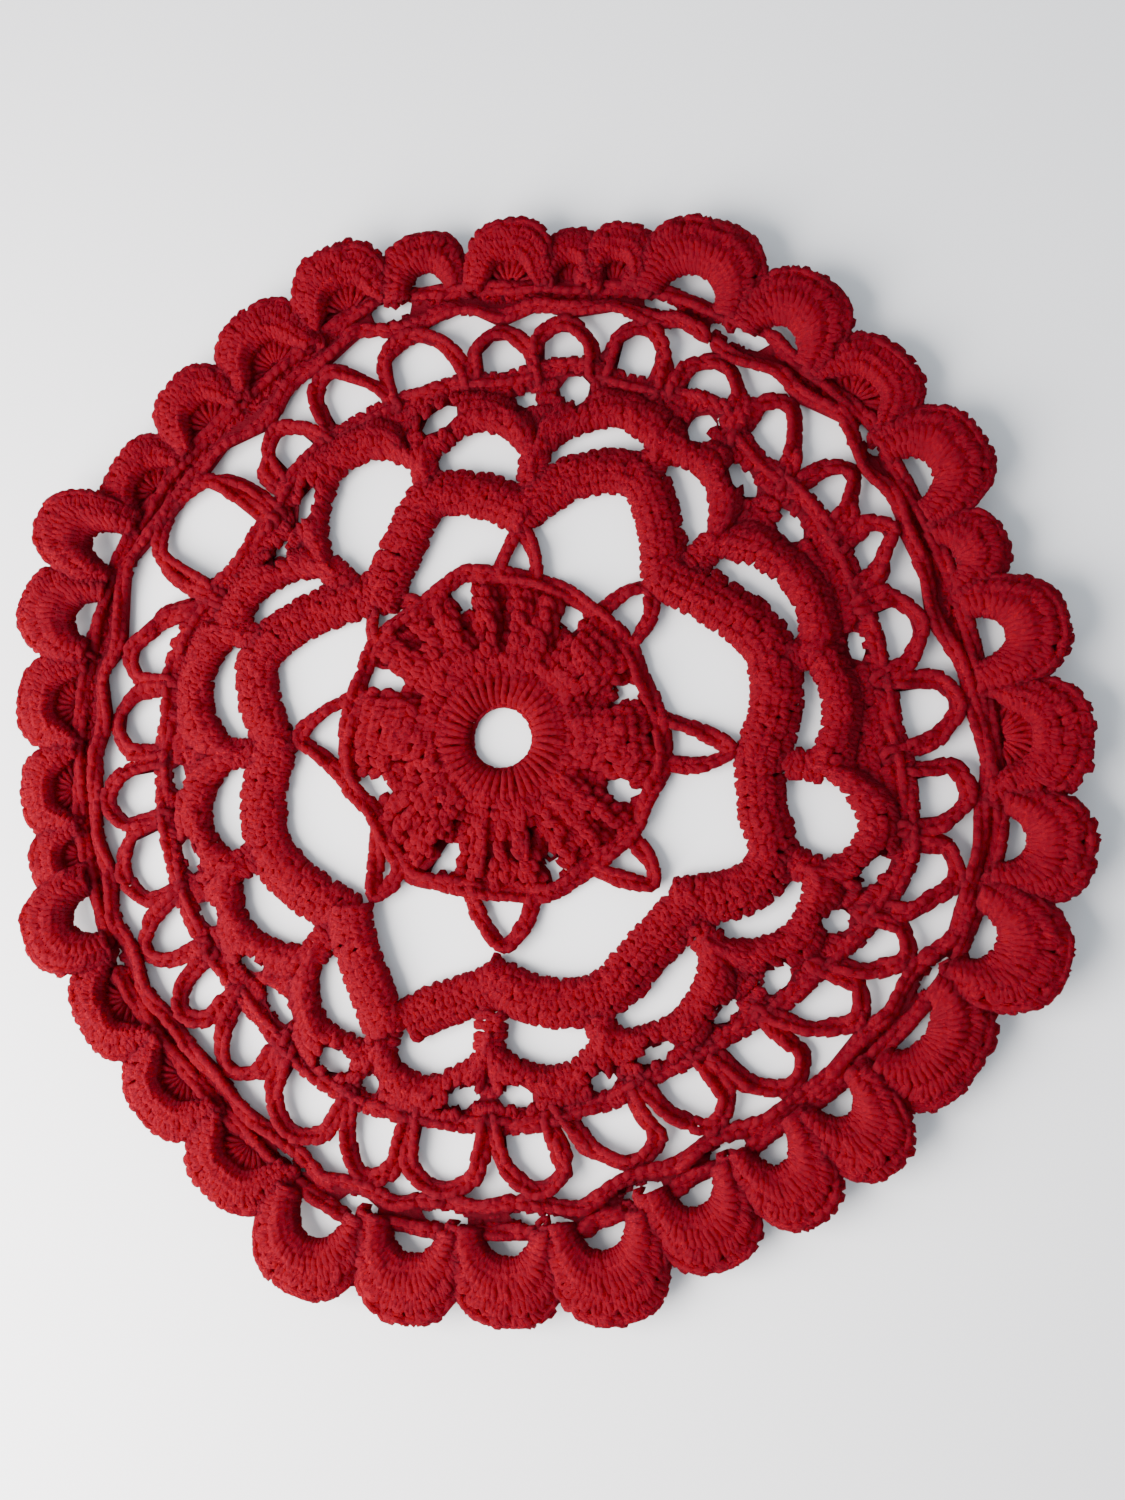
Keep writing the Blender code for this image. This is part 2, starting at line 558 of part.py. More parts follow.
def small_gaps():
    """Cutters for the small gaps in the rows, each leaning along its line of sight."""
    cutters = []
    for number, (degree, distance, half_length, half_height, turned) in enumerate(SMALL_GAPS):
        sides = np.radians(np.arange(GAP_SIDES) * 360.0 / GAP_SIDES + 20.0)
        along, out = half_length * np.cos(sides), half_height * np.sin(sides)
        outward = polar(degree - turned, 1.0)
        onward = np.array([-outward[1], outward[0]])
        outline = polar(degree, distance) + along[:, None] * onward + out[:, None] * outward
        sections = np.stack([in_sight(outline, -1.0, 0.0), in_sight(outline, 8.0, 0.0)])
        cutters.append(solid(f"gap_{number}", sections, False))
    return cutters


def cotton():
    """The red cotton."""
    material = bpy.data.materials.new("red_cotton")
    material.use_nodes = True
    shader = material.node_tree.nodes["Principled BSDF"]
    shader.inputs["Base Color"].default_value = COTTON_RED
    shader.inputs["Roughness"].default_value = COTTON_ROUGHNESS
    return material


def combine(target, name, operation, helpers):
    """Joins the helpers to the target, or cuts them from it, and keeps them out of the render."""
    group = bpy.data.collections.new(name)
    bpy.context.scene.collection.children.link(group)
    for helper in helpers:
        helper.hide_render = True
        helper.display_type = "WIRE"
        group.objects.link(helper)
    modifier = target.modifiers.new(name, "BOOLEAN")
    modifier.operation = operation
    modifier.solver = "EXACT"
    modifier.operand_type = "COLLECTION"
    modifier.collection = group


def main():
    for obj in list(bpy.data.objects):
        bpy.data.objects.remove(obj, do_unlink=True)
    doily = rosette()
    doily.data.materials.append(cotton())
    bpy.context.scene.collection.objects.link(doily)
    pieces = rosette_trim() + inner_band() + outer_band() + lattice() + edging()
    combine(doily, "pieces", "UNION", pieces)
    combine(doily, "gaps", "DIFFERENCE", small_gaps())
    thinned = doily.modifiers.new("thinned", "DECIMATE")
    thinned.ratio = KEPT_SHARE


main()
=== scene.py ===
"""The looks of a crocheted doily: its stitches laid as yarn on the shape of the solid part.

Lengths are in millimetres and angles in degrees, from the hub of the doily, as
in the part's own layout, until a mesh is made in metres.
"""

import math

import bmesh
import bpy
import numpy as np
from mathutils import Matrix


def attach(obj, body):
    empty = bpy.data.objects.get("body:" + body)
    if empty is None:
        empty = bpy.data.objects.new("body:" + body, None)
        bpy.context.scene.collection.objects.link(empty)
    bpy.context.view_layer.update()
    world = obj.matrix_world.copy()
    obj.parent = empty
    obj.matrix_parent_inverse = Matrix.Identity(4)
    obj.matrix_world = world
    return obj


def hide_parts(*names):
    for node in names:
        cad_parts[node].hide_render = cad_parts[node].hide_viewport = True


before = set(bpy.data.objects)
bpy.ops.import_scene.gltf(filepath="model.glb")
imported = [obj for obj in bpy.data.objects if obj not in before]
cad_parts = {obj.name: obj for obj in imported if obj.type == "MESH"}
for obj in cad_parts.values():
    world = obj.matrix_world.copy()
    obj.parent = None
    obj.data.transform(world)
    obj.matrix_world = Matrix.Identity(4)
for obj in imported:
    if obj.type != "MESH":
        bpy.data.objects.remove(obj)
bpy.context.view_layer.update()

MM = 0.001
RANDOM = np.random.default_rng(7)

# The hub isn't quite in the middle of the uneven outline.
HUB_X = -3.32
HUB_Y = 4.47

# The layout below is where each edge appears from this point, in mm from the
# hub. What is raised off the table is moved along its line of sight.
EYE = (79.0, -40.6, 316.0)

# How wide a chain is, and how thick each kind of cloth.
CORD_WIDTH = 3.2
CORD_THICKNESS = 2.6
ROW_THICKNESS = 2.8
BAND_THICKNESS = 3.4
OUTER_BAND_THICKNESS = 3.2
SCALLOP_THICKNESS = 3.2

# The rosette: a hole, a ring of long stitches, then eight puffed petals with a
# notch between each two.
HOLE_RADIUS = 7.2
HOLE_OFFSET = (-0.1, -0.3)
STITCH_RING_HEIGHT = 2.8
NOTCHES = (
    # degree, distance of its bottom from the hub, half its width in degrees
    (19.0, 25.2, 5.2),
    (60.0, 27.2, 4.8),
    (106.2, 28.4, 4.4),
    (153.6, 26.4, 5.2),
    (199.5, 27.6, 6.4),
    (244.4, 25.6, 4.8),
    (291.5, 27.8, 4.4),
    (335.2, 25.6, 5.6),
)

# The chain edge of the rosette: its distance from the hub at each angle.
ROSETTE_EDGE = (
    # degree, distance
    (10.0, 34.2),
    (22.0, 33.2),
    (33.0, 34.2),
    (55.0, 34.2),
    (66.0, 35.2),
    (77.0, 36.0),
    (96.0, 37.6),
    (104.0, 39.2),
    (113.0, 37.4),
    (122.0, 36.4),
    (143.0, 38.2),
    (154.0, 36.8),
    (165.0, 36.6),
    (184.0, 37.6),
    (195.0, 37.8),
    (206.0, 34.6),
    (218.0, 34.8),
    (235.0, 37.6),
    (246.0, 35.0),
    (257.0, 34.2),
    (272.0, 34.6),
    (288.0, 36.0),
    (300.0, 34.8),
    (314.0, 35.0),
    (325.0, 36.0),
    (336.0, 34.8),
    (350.0, 36.4),
)

# The loops that tie the rosette to the inner band, each from one foot through
# its two shoulders and its tip to the other foot.
LINKS = (
    # foot, shoulder, tip, shoulder, foot: each a degree and a distance
    ((349.0, 37.0), (350.5, 45.0), (355.5, 51.0), (0.5, 44.5), (6.0, 36.0)),
    ((34.0, 36.0), (38.0, 42.5), (45.0, 46.5), (49.5, 42.5), (52.0, 36.0)),
    ((78.0, 37.0), (80.5, 42.5), (86.0, 48.0), (90.0, 43.0), (94.0, 37.0)),
    ((122.0, 37.5), (127.0, 41.0), (133.5, 44.0), (139.5, 42.0), (144.0, 38.5)),
    ((164.0, 38.0), (170.0, 43.5), (178.5, 49.0), (185.0, 43.0), (194.0, 38.5)),
    ((211.0, 35.0), (222.0, 40.5), (229.5, 46.5), (232.0, 42.0), (229.5, 34.5)),
    ((256.0, 34.5), (262.0, 40.5), (270.0, 46.5), (276.5, 42.5), (281.5, 36.5)),
    ((304.0, 35.5), (309.5, 41.5), (315.5, 47.0), (320.0, 43.0), (322.0, 36.5)),
)

# The lobes of the inner band: the middle of the band at its start, its rise,
# its crown, its fall and its end, each a degree and a distance, then half its
# width and how far its underside is raised. Two of them cross at 248 degrees.
INNER_LOBES = (
    ((44.2, 50.2), (53.3, 58.6), (62.3, 65.3), (74.7, 60.9), (86.1, 51.1), 4.9, 0.15),
    ((86.1, 51.6), (95.1, 55.8), (107.0, 58.6), (118.2, 51.0), (131.3, 44.4), 5.0, 0.45),
    ((132.4, 46.0), (147.1, 54.8), (160.3, 62.0), (169.8, 59.4), (180.5, 54.0), 4.9, 0.05),
    ((181.2, 54.4), (191.8, 58.0), (204.0, 60.2), (216.1, 56.9), (226.5, 53.6), 5.2, 0.3),
    ((228.2, 53.0), (232.6, 56.6), (237.4, 60.0), (242.4, 64.2), (247.0, 69.0), 4.9, 1.6),
    ((252.2, 64.6), (256.3, 60.6), (260.5, 58.2), (264.5, 56.4), (269.0, 54.0), 4.7, 0.1),
    ((267.5, 53.4), (278.7, 58.6), (291.3, 60.6), (304.9, 56.4), (317.9, 55.2), 5.1, 0.35),
    ((318.5, 54.4), (326.7, 62.2), (334.8, 64.9), (343.3, 59.4), (353.9, 56.6), 5.1, 0.2),
    ((355.2, 57.0), (6.6, 60.6), (18.1, 61.2), (31.0, 55.6), (43.4, 50.9), 5.5, 0.4),
)
PINCH_OVERLAP = 2.4

# The sixteen arcs of the outer band. Where an arc starts, the band touches the
# inner band; half way along, it is bowed out.
OUTER_ARCS = (
    # start, inner edge there, inner edge half way along
    (14.0, 66.3, 69.2),
    (41.5, 58.5, 71.8),
    (61.0, 68.8, 73.8),
    (84.0, 59.5, 71.6),
    (107.0, 62.0, 74.0),
    (136.0, 54.0, 66.4),
    (157.5, 66.2, 71.8),
    (182.0, 60.5, 71.9),
    (204.0, 65.5, 71.9),
    (227.5, 60.5, 75.2),
    (248.0, 69.5, 76.6),
    (267.5, 63.5, 72.9),
    (289.0, 65.5, 70.7),
    (315.0, 60.5, 74.0),
    (336.0, 69.5, 79.8),
    (353.5, 65.5, 70.3),
)
ARC_BOW = 0.72

# The loops of the lattice, clockwise. The angles are those of the sides of the
# gap inside each loop, at its foot and near its top. A loop and the next part
# at the fork. The last column is the inner side of the row of chain where it
# spans to the next loop.
ARCHES = (
    # left foot, left top, right top, right foot, foot distance, fork, top, row
    (37.4, 37.2, 34.6, 32.8, 85.4, 90.5, 93.0, 97.6),
    (26.0, 27.6, 25.8, 23.2, 85.4, 90.0, 93.0, 95.4),
    (16.6, 16.6, 11.0, 8.9, 84.2, 92.0, 91.0, 97.7),
    (5.0, 4.6, 0.6, -2.3, 85.6, 93.5, 95.6, 101.8),
    (-7.4, -6.4, -10.6, -12.4, 90.2, 99.5, 98.0, 102.2),
    (-17.2, -16.2, -20.3, -23.2, 92.6, 95.5, 99.2, 103.0),
    (-28.5, -27.6, -30.6, -33.2, 87.8, 93.0, 96.2, 99.6),
    (-38.4, -36.8, -40.6, -44.6, 84.6, 91.0, 94.7, 98.2),
    (-49.2, -48.0, -52.0, -54.6, 82.2, 92.0, 94.7, 97.2),
    (-60.4, -59.4, -63.0, -66.6, 80.9, 88.0, 92.5, 97.2),
    (-71.9, -70.0, -75.2, -79.4, 83.2, 93.0, 93.4, 101.0),
    (-84.7, -83.1, -87.5, -89.9, 85.3, 92.5, 95.8, 100.2),
    (-94.3, -95.2, -101.2, -102.0, 85.2, 92.0, 97.0, 103.2),
    (-106.3, -106.2, -109.4, -112.2, 87.4, 93.0, 98.8, 103.0),
    (-115.8, -116.4, -121.8, -123.6, 86.8, 94.5, 97.4, 99.8),
    (-129.2, -129.0, -132.8, -135.2, 84.8, 87.5, 95.2, 98.2),
    (-139.8, -139.4, -142.4, -143.3, 85.0, 86.0, 94.7, 99.8),
    (-148.8, -149.5, -152.5, -155.1, 84.8, 95.0, 95.0, 99.6),
    (-158.4, -158.6, -165.4, -167.0, 84.2, 96.5, 93.4, 98.4),
    (-170.4, -170.2, -174.5, -176.0, 83.8, 89.0, 94.2, 97.2),
    (-181.0, -180.8, -186.5, -188.2, 82.8, 98.0, 91.8, 98.0),
    (-192.5, -191.6, -196.4, -201.6, 84.2, 90.0, 91.6, 100.8),
    (-209.0, -210.0, -219.8, -221.2, 78.4, 88.0, 97.6, 97.4),
    (-231.0, -231.2, -235.0, -237.0, 83.8, 89.5, 90.8, 98.6),
    (-241.5, -242.0, -245.2, -249.8, 84.4, 87.0, 95.4, 102.4),
    (-252.8, -253.2, -259.2, -262.2, 84.4, 86.0, 95.2, 99.4),
    (-266.6, -266.8, -271.4, -273.5, 83.9, 89.5, 91.8, 98.2),
    (-276.0, -276.2, -280.6, -282.2, 86.8, 93.0, 93.6, 99.2),
    (-287.2, -287.4, -291.2, -291.8, 85.8, 89.5, 95.6, 99.6),
    (-298.4, -298.6, -303.5, -304.4, 87.8, 92.0, 94.0, 99.2),
    (-310.8, -309.8, -313.2, -316.5, 84.2, 88.0, 94.0, 100.6),
)

# The small gaps that are cut through the rows of chain.
SMALL_GAPS = (
    # degree, distance, half length, half height, turned by
    (35.2, 77.8, 4.2, 2.0, 0.0),
    (13.0, 79.3, 3.2, 1.5, 0.0),
    (339.3, 85.3, 4.4, 1.5, 24.0),
    (330.5, 82.4, 2.7, 2.3, 20.0),
    (318.2, 79.0, 4.0, 2.0, 8.0),
    (309.0, 76.8, 3.4, 1.4, 0.0),
    (296.0, 76.3, 4.4, 1.4, 0.0),
    (286.5, 77.8, 2.8, 1.6, -12.0),
    (272.0, 78.4, 4.0, 2.2, 8.0),
    (263.5, 79.2, 3.6, 2.2, -24.0),
    (248.0, 82.0, 2.5, 1.8, 10.0),
    (241.5, 81.2, 3.8, 2.3, -8.0),
    (228.5, 79.0, 5.0, 1.9, 14.0),
    (220.3, 77.3, 3.2, 1.4, -26.0),
    (208.8, 79.7, 3.8, 1.7, 0.0),
    (199.0, 78.8, 4.2, 1.5, 0.0),
    (185.3, 78.5, 3.0, 1.2, 0.0),
    (140.2, 70.6, 3.2, 1.4, -10.0),
    (135.3, 82.5, 1.8, 4.0, 28.0),
    (130.8, 74.0, 4.8, 1.6, -28.0),
    (102.0, 76.2, 5.0, 2.0, -22.0),
    (86.3, 77.8, 2.8, 1.4, 0.0),
    (78.5, 80.5, 3.2, 3.2, -20.0),
    (56.5, 81.3, 2.8, 3.2, 10.0),
    (46.0, 77.3, 4.6, 1.7, 14.0),
    (54.0, 85.4, 1.5, 2.3, 30.0),
    (37.8, 102.6, 4.2, 1.4, 12.0),
    (330.5, 105.2, 5.0, 1.5, 16.0),
    (298.8, 100.9, 4.2, 1.6, 6.0),
    (287.5, 102.2, 4.5, 1.8, 0.0),
    (274.8, 104.6, 7.6, 1.6, 12.0),
    (263.0, 104.8, 5.4, 1.6, 0.0),
    (252.5, 108.0, 4.6, 2.3, 0.0),
    (242.5, 105.0, 4.6, 1.1, 6.0),
    (207.8, 104.6, 2.8, 1.6, 0.0),
    (105.2, 105.4, 5.0, 2.8, 0.0),
    (69.8, 103.8, 4.0, 1.5, 0.0),
    (59.0, 103.5, 7.2, 2.2, -8.0),
    (63.3, 98.0, 3.5, 1.3, 0.0),
)

# The scallops of the edge, clockwise. Half width is an angle; the others are
# distances from the hub, and how far the tip is raised off the table.
SCALLOPS = (
    # degree, half width, chain below, top of opening, tip, raised
    (42.7, 5.9, 105.4, 106.4, 122.0, 4.6),
    (31.0, 5.8, 103.4, 110.2, 122.8, 5.4),
    (20.2, 4.2, 103.0, 105.2, 116.8, 3.0),
    (10.2, 5.3, 103.2, 111.0, 123.6, 6.0),
    (358.6, 6.1, 105.2, 106.2, 125.8, 6.0),
    (347.4, 5.2, 108.8, 114.4, 128.2, 6.6),
    (336.4, 5.6, 107.6, 114.6, 129.2, 7.4),
    (324.4, 6.9, 106.2, 110.2, 123.0, 3.6),
    (312.6, 4.6, 103.4, 109.8, 124.2, 4.6),
    (303.5, 4.8, 102.2, 109.4, 123.2, 4.4),
    (293.2, 5.4, 102.8, 109.4, 122.8, 3.2),
    (281.7, 5.8, 105.8, 113.0, 127.9, 3.8),
    (270.6, 5.6, 106.8, 112.8, 127.2, 2.6),
    (259.7, 5.5, 108.4, 114.8, 129.6, 3.4),
    (248.5, 5.7, 110.2, 119.2, 131.6, 4.2),
    (237.0, 6.0, 106.4, 107.4, 123.4, 3.4),
    (225.2, 6.0, 105.4, 106.4, 121.0, 2.4),
    (213.0, 6.1, 106.0, 107.0, 120.8, 3.0),
    (201.6, 5.2, 105.0, 112.4, 125.2, 6.4),
    (193.8, 4.2, 104.4, 105.4, 119.2, 2.2),
    (185.1, 5.5, 104.4, 105.4, 119.5, 3.2),
    (174.0, 5.6, 104.5, 105.5, 121.6, 3.4),
    (163.1, 5.2, 105.5, 111.8, 126.4, 4.4),
    (153.6, 4.6, 106.2, 115.6, 131.2, 7.2),
    (144.2, 5.5, 105.5, 106.5, 120.4, 3.0),
    (133.1, 5.2, 105.0, 106.0, 122.6, 4.6),
    (121.9, 5.8, 106.0, 107.0, 124.2, 4.2),
    (110.4, 5.6, 108.6, 109.6, 127.6, 7.6),
    (100.2, 4.7, 107.0, 112.6, 122.1, 3.4),
    (89.6, 5.0, 105.0, 106.0, 122.3, 7.2),
    (81.8, 3.6, 104.8, 105.8, 119.3, 2.4),
    (76.2, 4.0, 106.0, 107.0, 121.9, 4.4),
    (66.7, 6.7, 106.6, 113.6, 126.7, 5.4),
    (54.3, 5.7, 105.4, 110.8, 124.6, 5.0),
)

# How a scallop fans out, and how wide it and its opening are beside the table.
SCALLOP_SPREAD = 97.0
SCALLOP_SQUARENESS = 2.7
SCALLOP_OVERLAP = 1.18
OPENING_SHARE = 0.44
LEAST_OPENING = 1.2

# The edge rows, from the loops' crowns to where the scallops stand.
CROWN_TO_ROW = 2.6
CHAIN_BEYOND = 1.2

# How unevenly the underside lies on the table.
UNEVEN = 0.9
UNEVEN_FROM = 40.0
UNEVEN_OVER = 60.0
FOLDS = 7.0

# The yarn: half its width on top, on the underside and in the chains, and how
# far one ply runs in a turn.
YARN_RADIUS = 0.76
UNDER_RADIUS = 0.60
CORD_RADIUS = 1.05
PLY_PITCH = 1.6

# The chains: their width, their loops and how they roll to and fro.
CORD_LOOK = 5.0
CORD_SPARE = 1.7
CHAIN_PITCH = 2.2
CHAIN_POINTS = 10
CHAIN_ROLL = 0.8
ROLL_LENGTH = 5.5
LOOP_REACH = 1.7
CHAIN_TAPER = 0.38
CHAIN_WIDEST = 0.76
CHAIN_SLOPE = 0.20
CHAIN_ARCH = 0.42
CHAIN_UNEVEN = 0.09

# Close crochet: how far its loops are from each other, and how each one runs.
STITCH_PITCH = 2.05
UNDER_PITCH = 3.0
UNDER_POINTS = 6
LUMPS = 0.07
LOOP_CLOSING = 0.65
LOOP_POINTS = 8
LOOP_TAPER = 0.30
LOOP_WIDEST = 0.80
LOOP_TILT = 0.22
LOOP_LIFT = 0.30
LOOP_SLOPE = 0.26
LOOP_ARCH = 0.12
LEAST_LIFT = 0.02
# How unlike the loops are: tilt, width, reach, place along and across, height.
LOOP_UNEVEN = (0.22, 0.10, 0.08, 0.09, 0.07, 0.12)

# Long stitches: two strands each, that wind round each other.
POST_PITCH = 2.15
POST_POINTS = 6
POST_RADIUS = 0.82
POST_SPREAD = (0.36, 0.46)
POST_LIFT = 0.45
POST_WIND = 0.38
RING_POSTS = 40

# The bands, where they join, and the room in a small gap.
BAND_ROWS = 5
BAND_SWELL = 2.1
BORDER_ROWS = 4
BORDER_WIDTH = 8.0
JOIN_REACH = (3.2, 5.0)
JOIN_WIDTH = 6.6
GAP_ROOM = 0.8
GAP_CORE = 0.38
GAP_FADE = 2.6

# The rosette's close rows, from the ring of long stitches out to its chain
# edge, how far each petal is puffed, and the folds that end in the notches.
ROWS_FROM = 13.6
ROSETTE_ROWS = 9
ROSETTE_PITCH = 2.0
ROSETTE_RADIUS = 0.86
ROSETTE_BASE = 1.3
ROSETTE_ROUGH = 1.5
PETAL_PUFFS = (3.0, 3.6, 4.0, 3.2, 2.8, 3.4, 2.9, 2.9)
NOTCH_LOOK = 0.62
NOTCH_DEPTH = 3.2
NOTCH_RUN = 10.0
NOTCH_SPREAD = 1.3
FOLD_ONSET = 6.0

# Where petals are folded besides the notches.
FOLDS_OF_PETALS = (
    # degree, from this distance, half its width in degrees, depth
    (90.0, 17.0, 4.0, 4.4),
    (133.0, 23.0, 4.0, 3.4),
    (122.0, 20.0, 2.6, 1.8),
    (76.0, 22.0, 3.2, 1.6),
    (225.0, 19.0, 3.0, 1.9),
    (263.0, 18.0, 3.2, 3.2),
    (254.0, 18.0, 2.6, 2.0),
    (273.0, 18.0, 3.0, 2.2),
    (305.0, 19.0, 3.2, 2.4),
    (318.0, 20.0, 2.8, 1.9),
    (2.0, 27.0, 4.0, 0.8),
    (178.0, 27.0, 4.0, 0.8),
)

# The scallops: from where each rolls up, how far the roll swells, and where
# its long stitches end in the close rows of its rim.
HIDDEN_OPENING = 1.5
HOLLOW_SHARE = 0.36
ROLL_BULGE = 3.0
RIM_SHARE = 0.58
HIDDEN_RIM_SHARE = 0.25
RIM_PITCH = 2.0
RIM_INSET = 1.2
OPENING_LOOK = 0.86

# The cloth under the yarn: how much thinner it is, and the height that it sinks
# to in the rosette and in the hollows of the scallops.
GROUND_SHRINK = 0.9
SINK_TO = 1.15
ROSETTE_REACH = 33.0
WELD = 0.001

# Colours along the mottling, from the hollows to the crests of the yarn: random tone from stitch to stitch,
# and painted shade, as the same noise and ply twist that raise the bumps also lighten their crests and
# darken their hollows.
YARN_STOPS = (
    (0.15, (0.098, 0.0026, 0.0068)),
    (0.50, (0.104, 0.0026, 0.0070)),
    (0.85, (0.112, 0.0026, 0.0074)),
)
# The cloth under the yarn is a little darker than the yarn: painted shade where it shows in the hollows and
# gaps between stitches.
SHADED_GROUND_STOPS = (
    (0.2, (0.092, 0.0024, 0.0064)),
    (0.8, (0.104, 0.0026, 0.0070)),
)
TABLE_DARK = (0.87, 0.862, 0.864)
TABLE_LIGHT = (0.90, 0.892, 0.894)
TABLE_HALF = 900.0

# The camera's own axes in the world, and its lens.
CAMERA_AXES = ((0.97893, 0.0, -0.20418), (0.02361, 0.99329, 0.11318), (0.20281, -0.11561, 0.97237))
LENS = 35.33

# The window's light: direction from the doily, distance, size, watts and colour.
WINDOW = ((-0.70, -0.37, 0.62), 420.0, 420.0, 9.3, (1.0, 0.957, 0.948))
SKY_COLOUR = (0.82, 0.91, 1.0)
SKY_STRENGTH = 0.90


def polar(degree, distance):
    """The point in mm that lies at this angle and distance from the hub."""
    turn = np.radians(degree)
    return np.stack([distance * np.cos(turn), distance * np.sin(turn)], axis=-1)


def at_height(points, height):
    """Points of the plan, all at one height in mm."""
    return np.concatenate([points, np.full((len(points), 1), height)], axis=1)


def rise(points):
    """How far in mm the underside is off the table at these points: not at all in the middle."""
    x, y = points[..., 0], points[..., 1]
    distance = np.hypot(x, y)
    share = np.clip((distance - UNEVEN_FROM) / UNEVEN_OVER, 0.0, 1.0)
    wave = 0.5 + 0.5 * np.sin(FOLDS * np.arctan2(y, x) + 0.11 * distance)
    return UNEVEN * share * wave


def raised(points, height, thickness):
    """The middle of a strip at a height above the uneven table, moved to where it appears in the layout."""
    heights = rise(points) + height + thickness / 2.0
    share = (heights / EYE[2])[..., None]
    moved = points + (np.array(EYE[:2]) - points) * share
    return np.concatenate([moved, heights[..., None]], axis=-1)


def line_through(points, segments):
    """A smooth line through the points, as segments + 1 points, that never loops where they crowd."""
    points = np.asarray(points, float)
    ends = (2.0 * points[:1] - points[1:2], points, 2.0 * points[-1:] - points[-2:-1])
    padded = np.concatenate(ends)
    steps = np.diff(padded, axis=0)
    gaps = np.sqrt(np.linalg.norm(steps, axis=1))[:, None]
    slopes = steps / gaps
    across = (padded[2:] - padded[:-2]) / (gaps[:-1] + gaps[1:])
    tangents = slopes[:-1] + slopes[1:] - across
    places = np.linspace(0.0, len(points) - 1.0, segments + 1)
    first = np.minimum(places.astype(int), len(points) - 2)
    t = (places - first)[:, None]
    start, move = points[first], points[first + 1] - points[first]
    leave, arrive = tangents[first] * gaps[first + 1], tangents[first + 1] * gaps[first + 1]
    bend = (3.0 * move - 2.0 * leave - arrive) * t**2 + (leave + arrive - 2.0 * move) * t**3
    return start + leave * t + bend


def sides_of(line, width):
    """The left and right edges of a strip of this width along a line."""
    along = np.gradient(line, axis=0)
    along /= np.linalg.norm(along, axis=1)[:, None]
    across = np.stack([along[:, 1], -along[:, 0]], axis=1)
    return line - across * width / 2.0, line + across * width / 2.0


def smoothed(values, window):
    """The values round a closed ring, each the mean of this many neighbours."""
    half = window // 2
    wrapped = np.concatenate([values[-half:], values, values[:half]])
    return np.convolve(wrapped, np.ones(2 * half + 1) / (2 * half + 1), "valid")


class Strip:
    """A strip of cloth between a left and a right line of points, which stitches are placed on."""

    def __init__(self, left, right, closed=False, bulge=0.0):
        if closed:
            left, right = np.concatenate([left, left[:1]]), np.concatenate([right, right[:1]])
        else:
            left, right = self.lengthened(left), self.lengthened(right)
        middle = (left + right) / 2.0
        steps = np.linalg.norm(np.diff(middle, axis=0), axis=1)
        start = 0.0 if closed else -steps[0]
        self.at = np.concatenate([[0.0], np.cumsum(steps)]) + start
        self.length = self.at[-1] if closed else self.at[-2]
        self.closed = closed
        self.left, self.right = left, right
        self.bulge = bulge
        across = right - left
        along = np.gradient(middle, axis=0)
        if closed:
            along[0] = along[-1] = middle[1] - middle[-2]
        normal = np.cross(across, along)
        normal *= np.sign(normal[:, 2:])
        self.normal = normal / np.linalg.norm(normal, axis=1)[:, None]

    @staticmethod
    def lengthened(line):
        """The line with one more point at each end, straight on."""
        return np.concatenate([2.0 * line[:1] - line[1:2], line, 2.0 * line[-1:] - line[-2:-1]])

    def values(self, along, lines):
        """What these lines hold at each length along the strip."""
        along = along % self.length if self.closed else along
        return np.stack([np.interp(along, self.at, lines[:, k]) for k in range(3)], axis=-1)

    def width(self, along):
        """How wide the strip is at each length along it."""
        along = along % self.length if self.closed else along
        return np.interp(along, self.at, np.linalg.norm(self.right - self.left, axis=1))

    def part(self, low, high, bulge=0.0):
        """The strip between two shares of the way across this one."""
        along = np.linspace(0.0, self.length, len(self.at) - 1)
        along = along[:-1] if self.closed else along
        flat = np.zeros_like(along)
        left, right = (self.place(along, np.full_like(along, share), flat) for share in (low, high))
        return Strip(left, right, self.closed, bulge)

    def place(self, along, share, height):
        """The points at these lengths along, shares of the way across and heights off the strip."""
        left, right = self.values(along, self.left), self.values(along, self.right)
        swell = self.bulge * (1.0 - np.abs(2.0 * np.clip(share, 0.0, 1.0) - 1.0) ** 2.2)
        out = (height + np.sign(height + 1e-9) * swell)[..., None] * self.values(along, self.normal)
        return left + (right - left) * share[..., None] + out


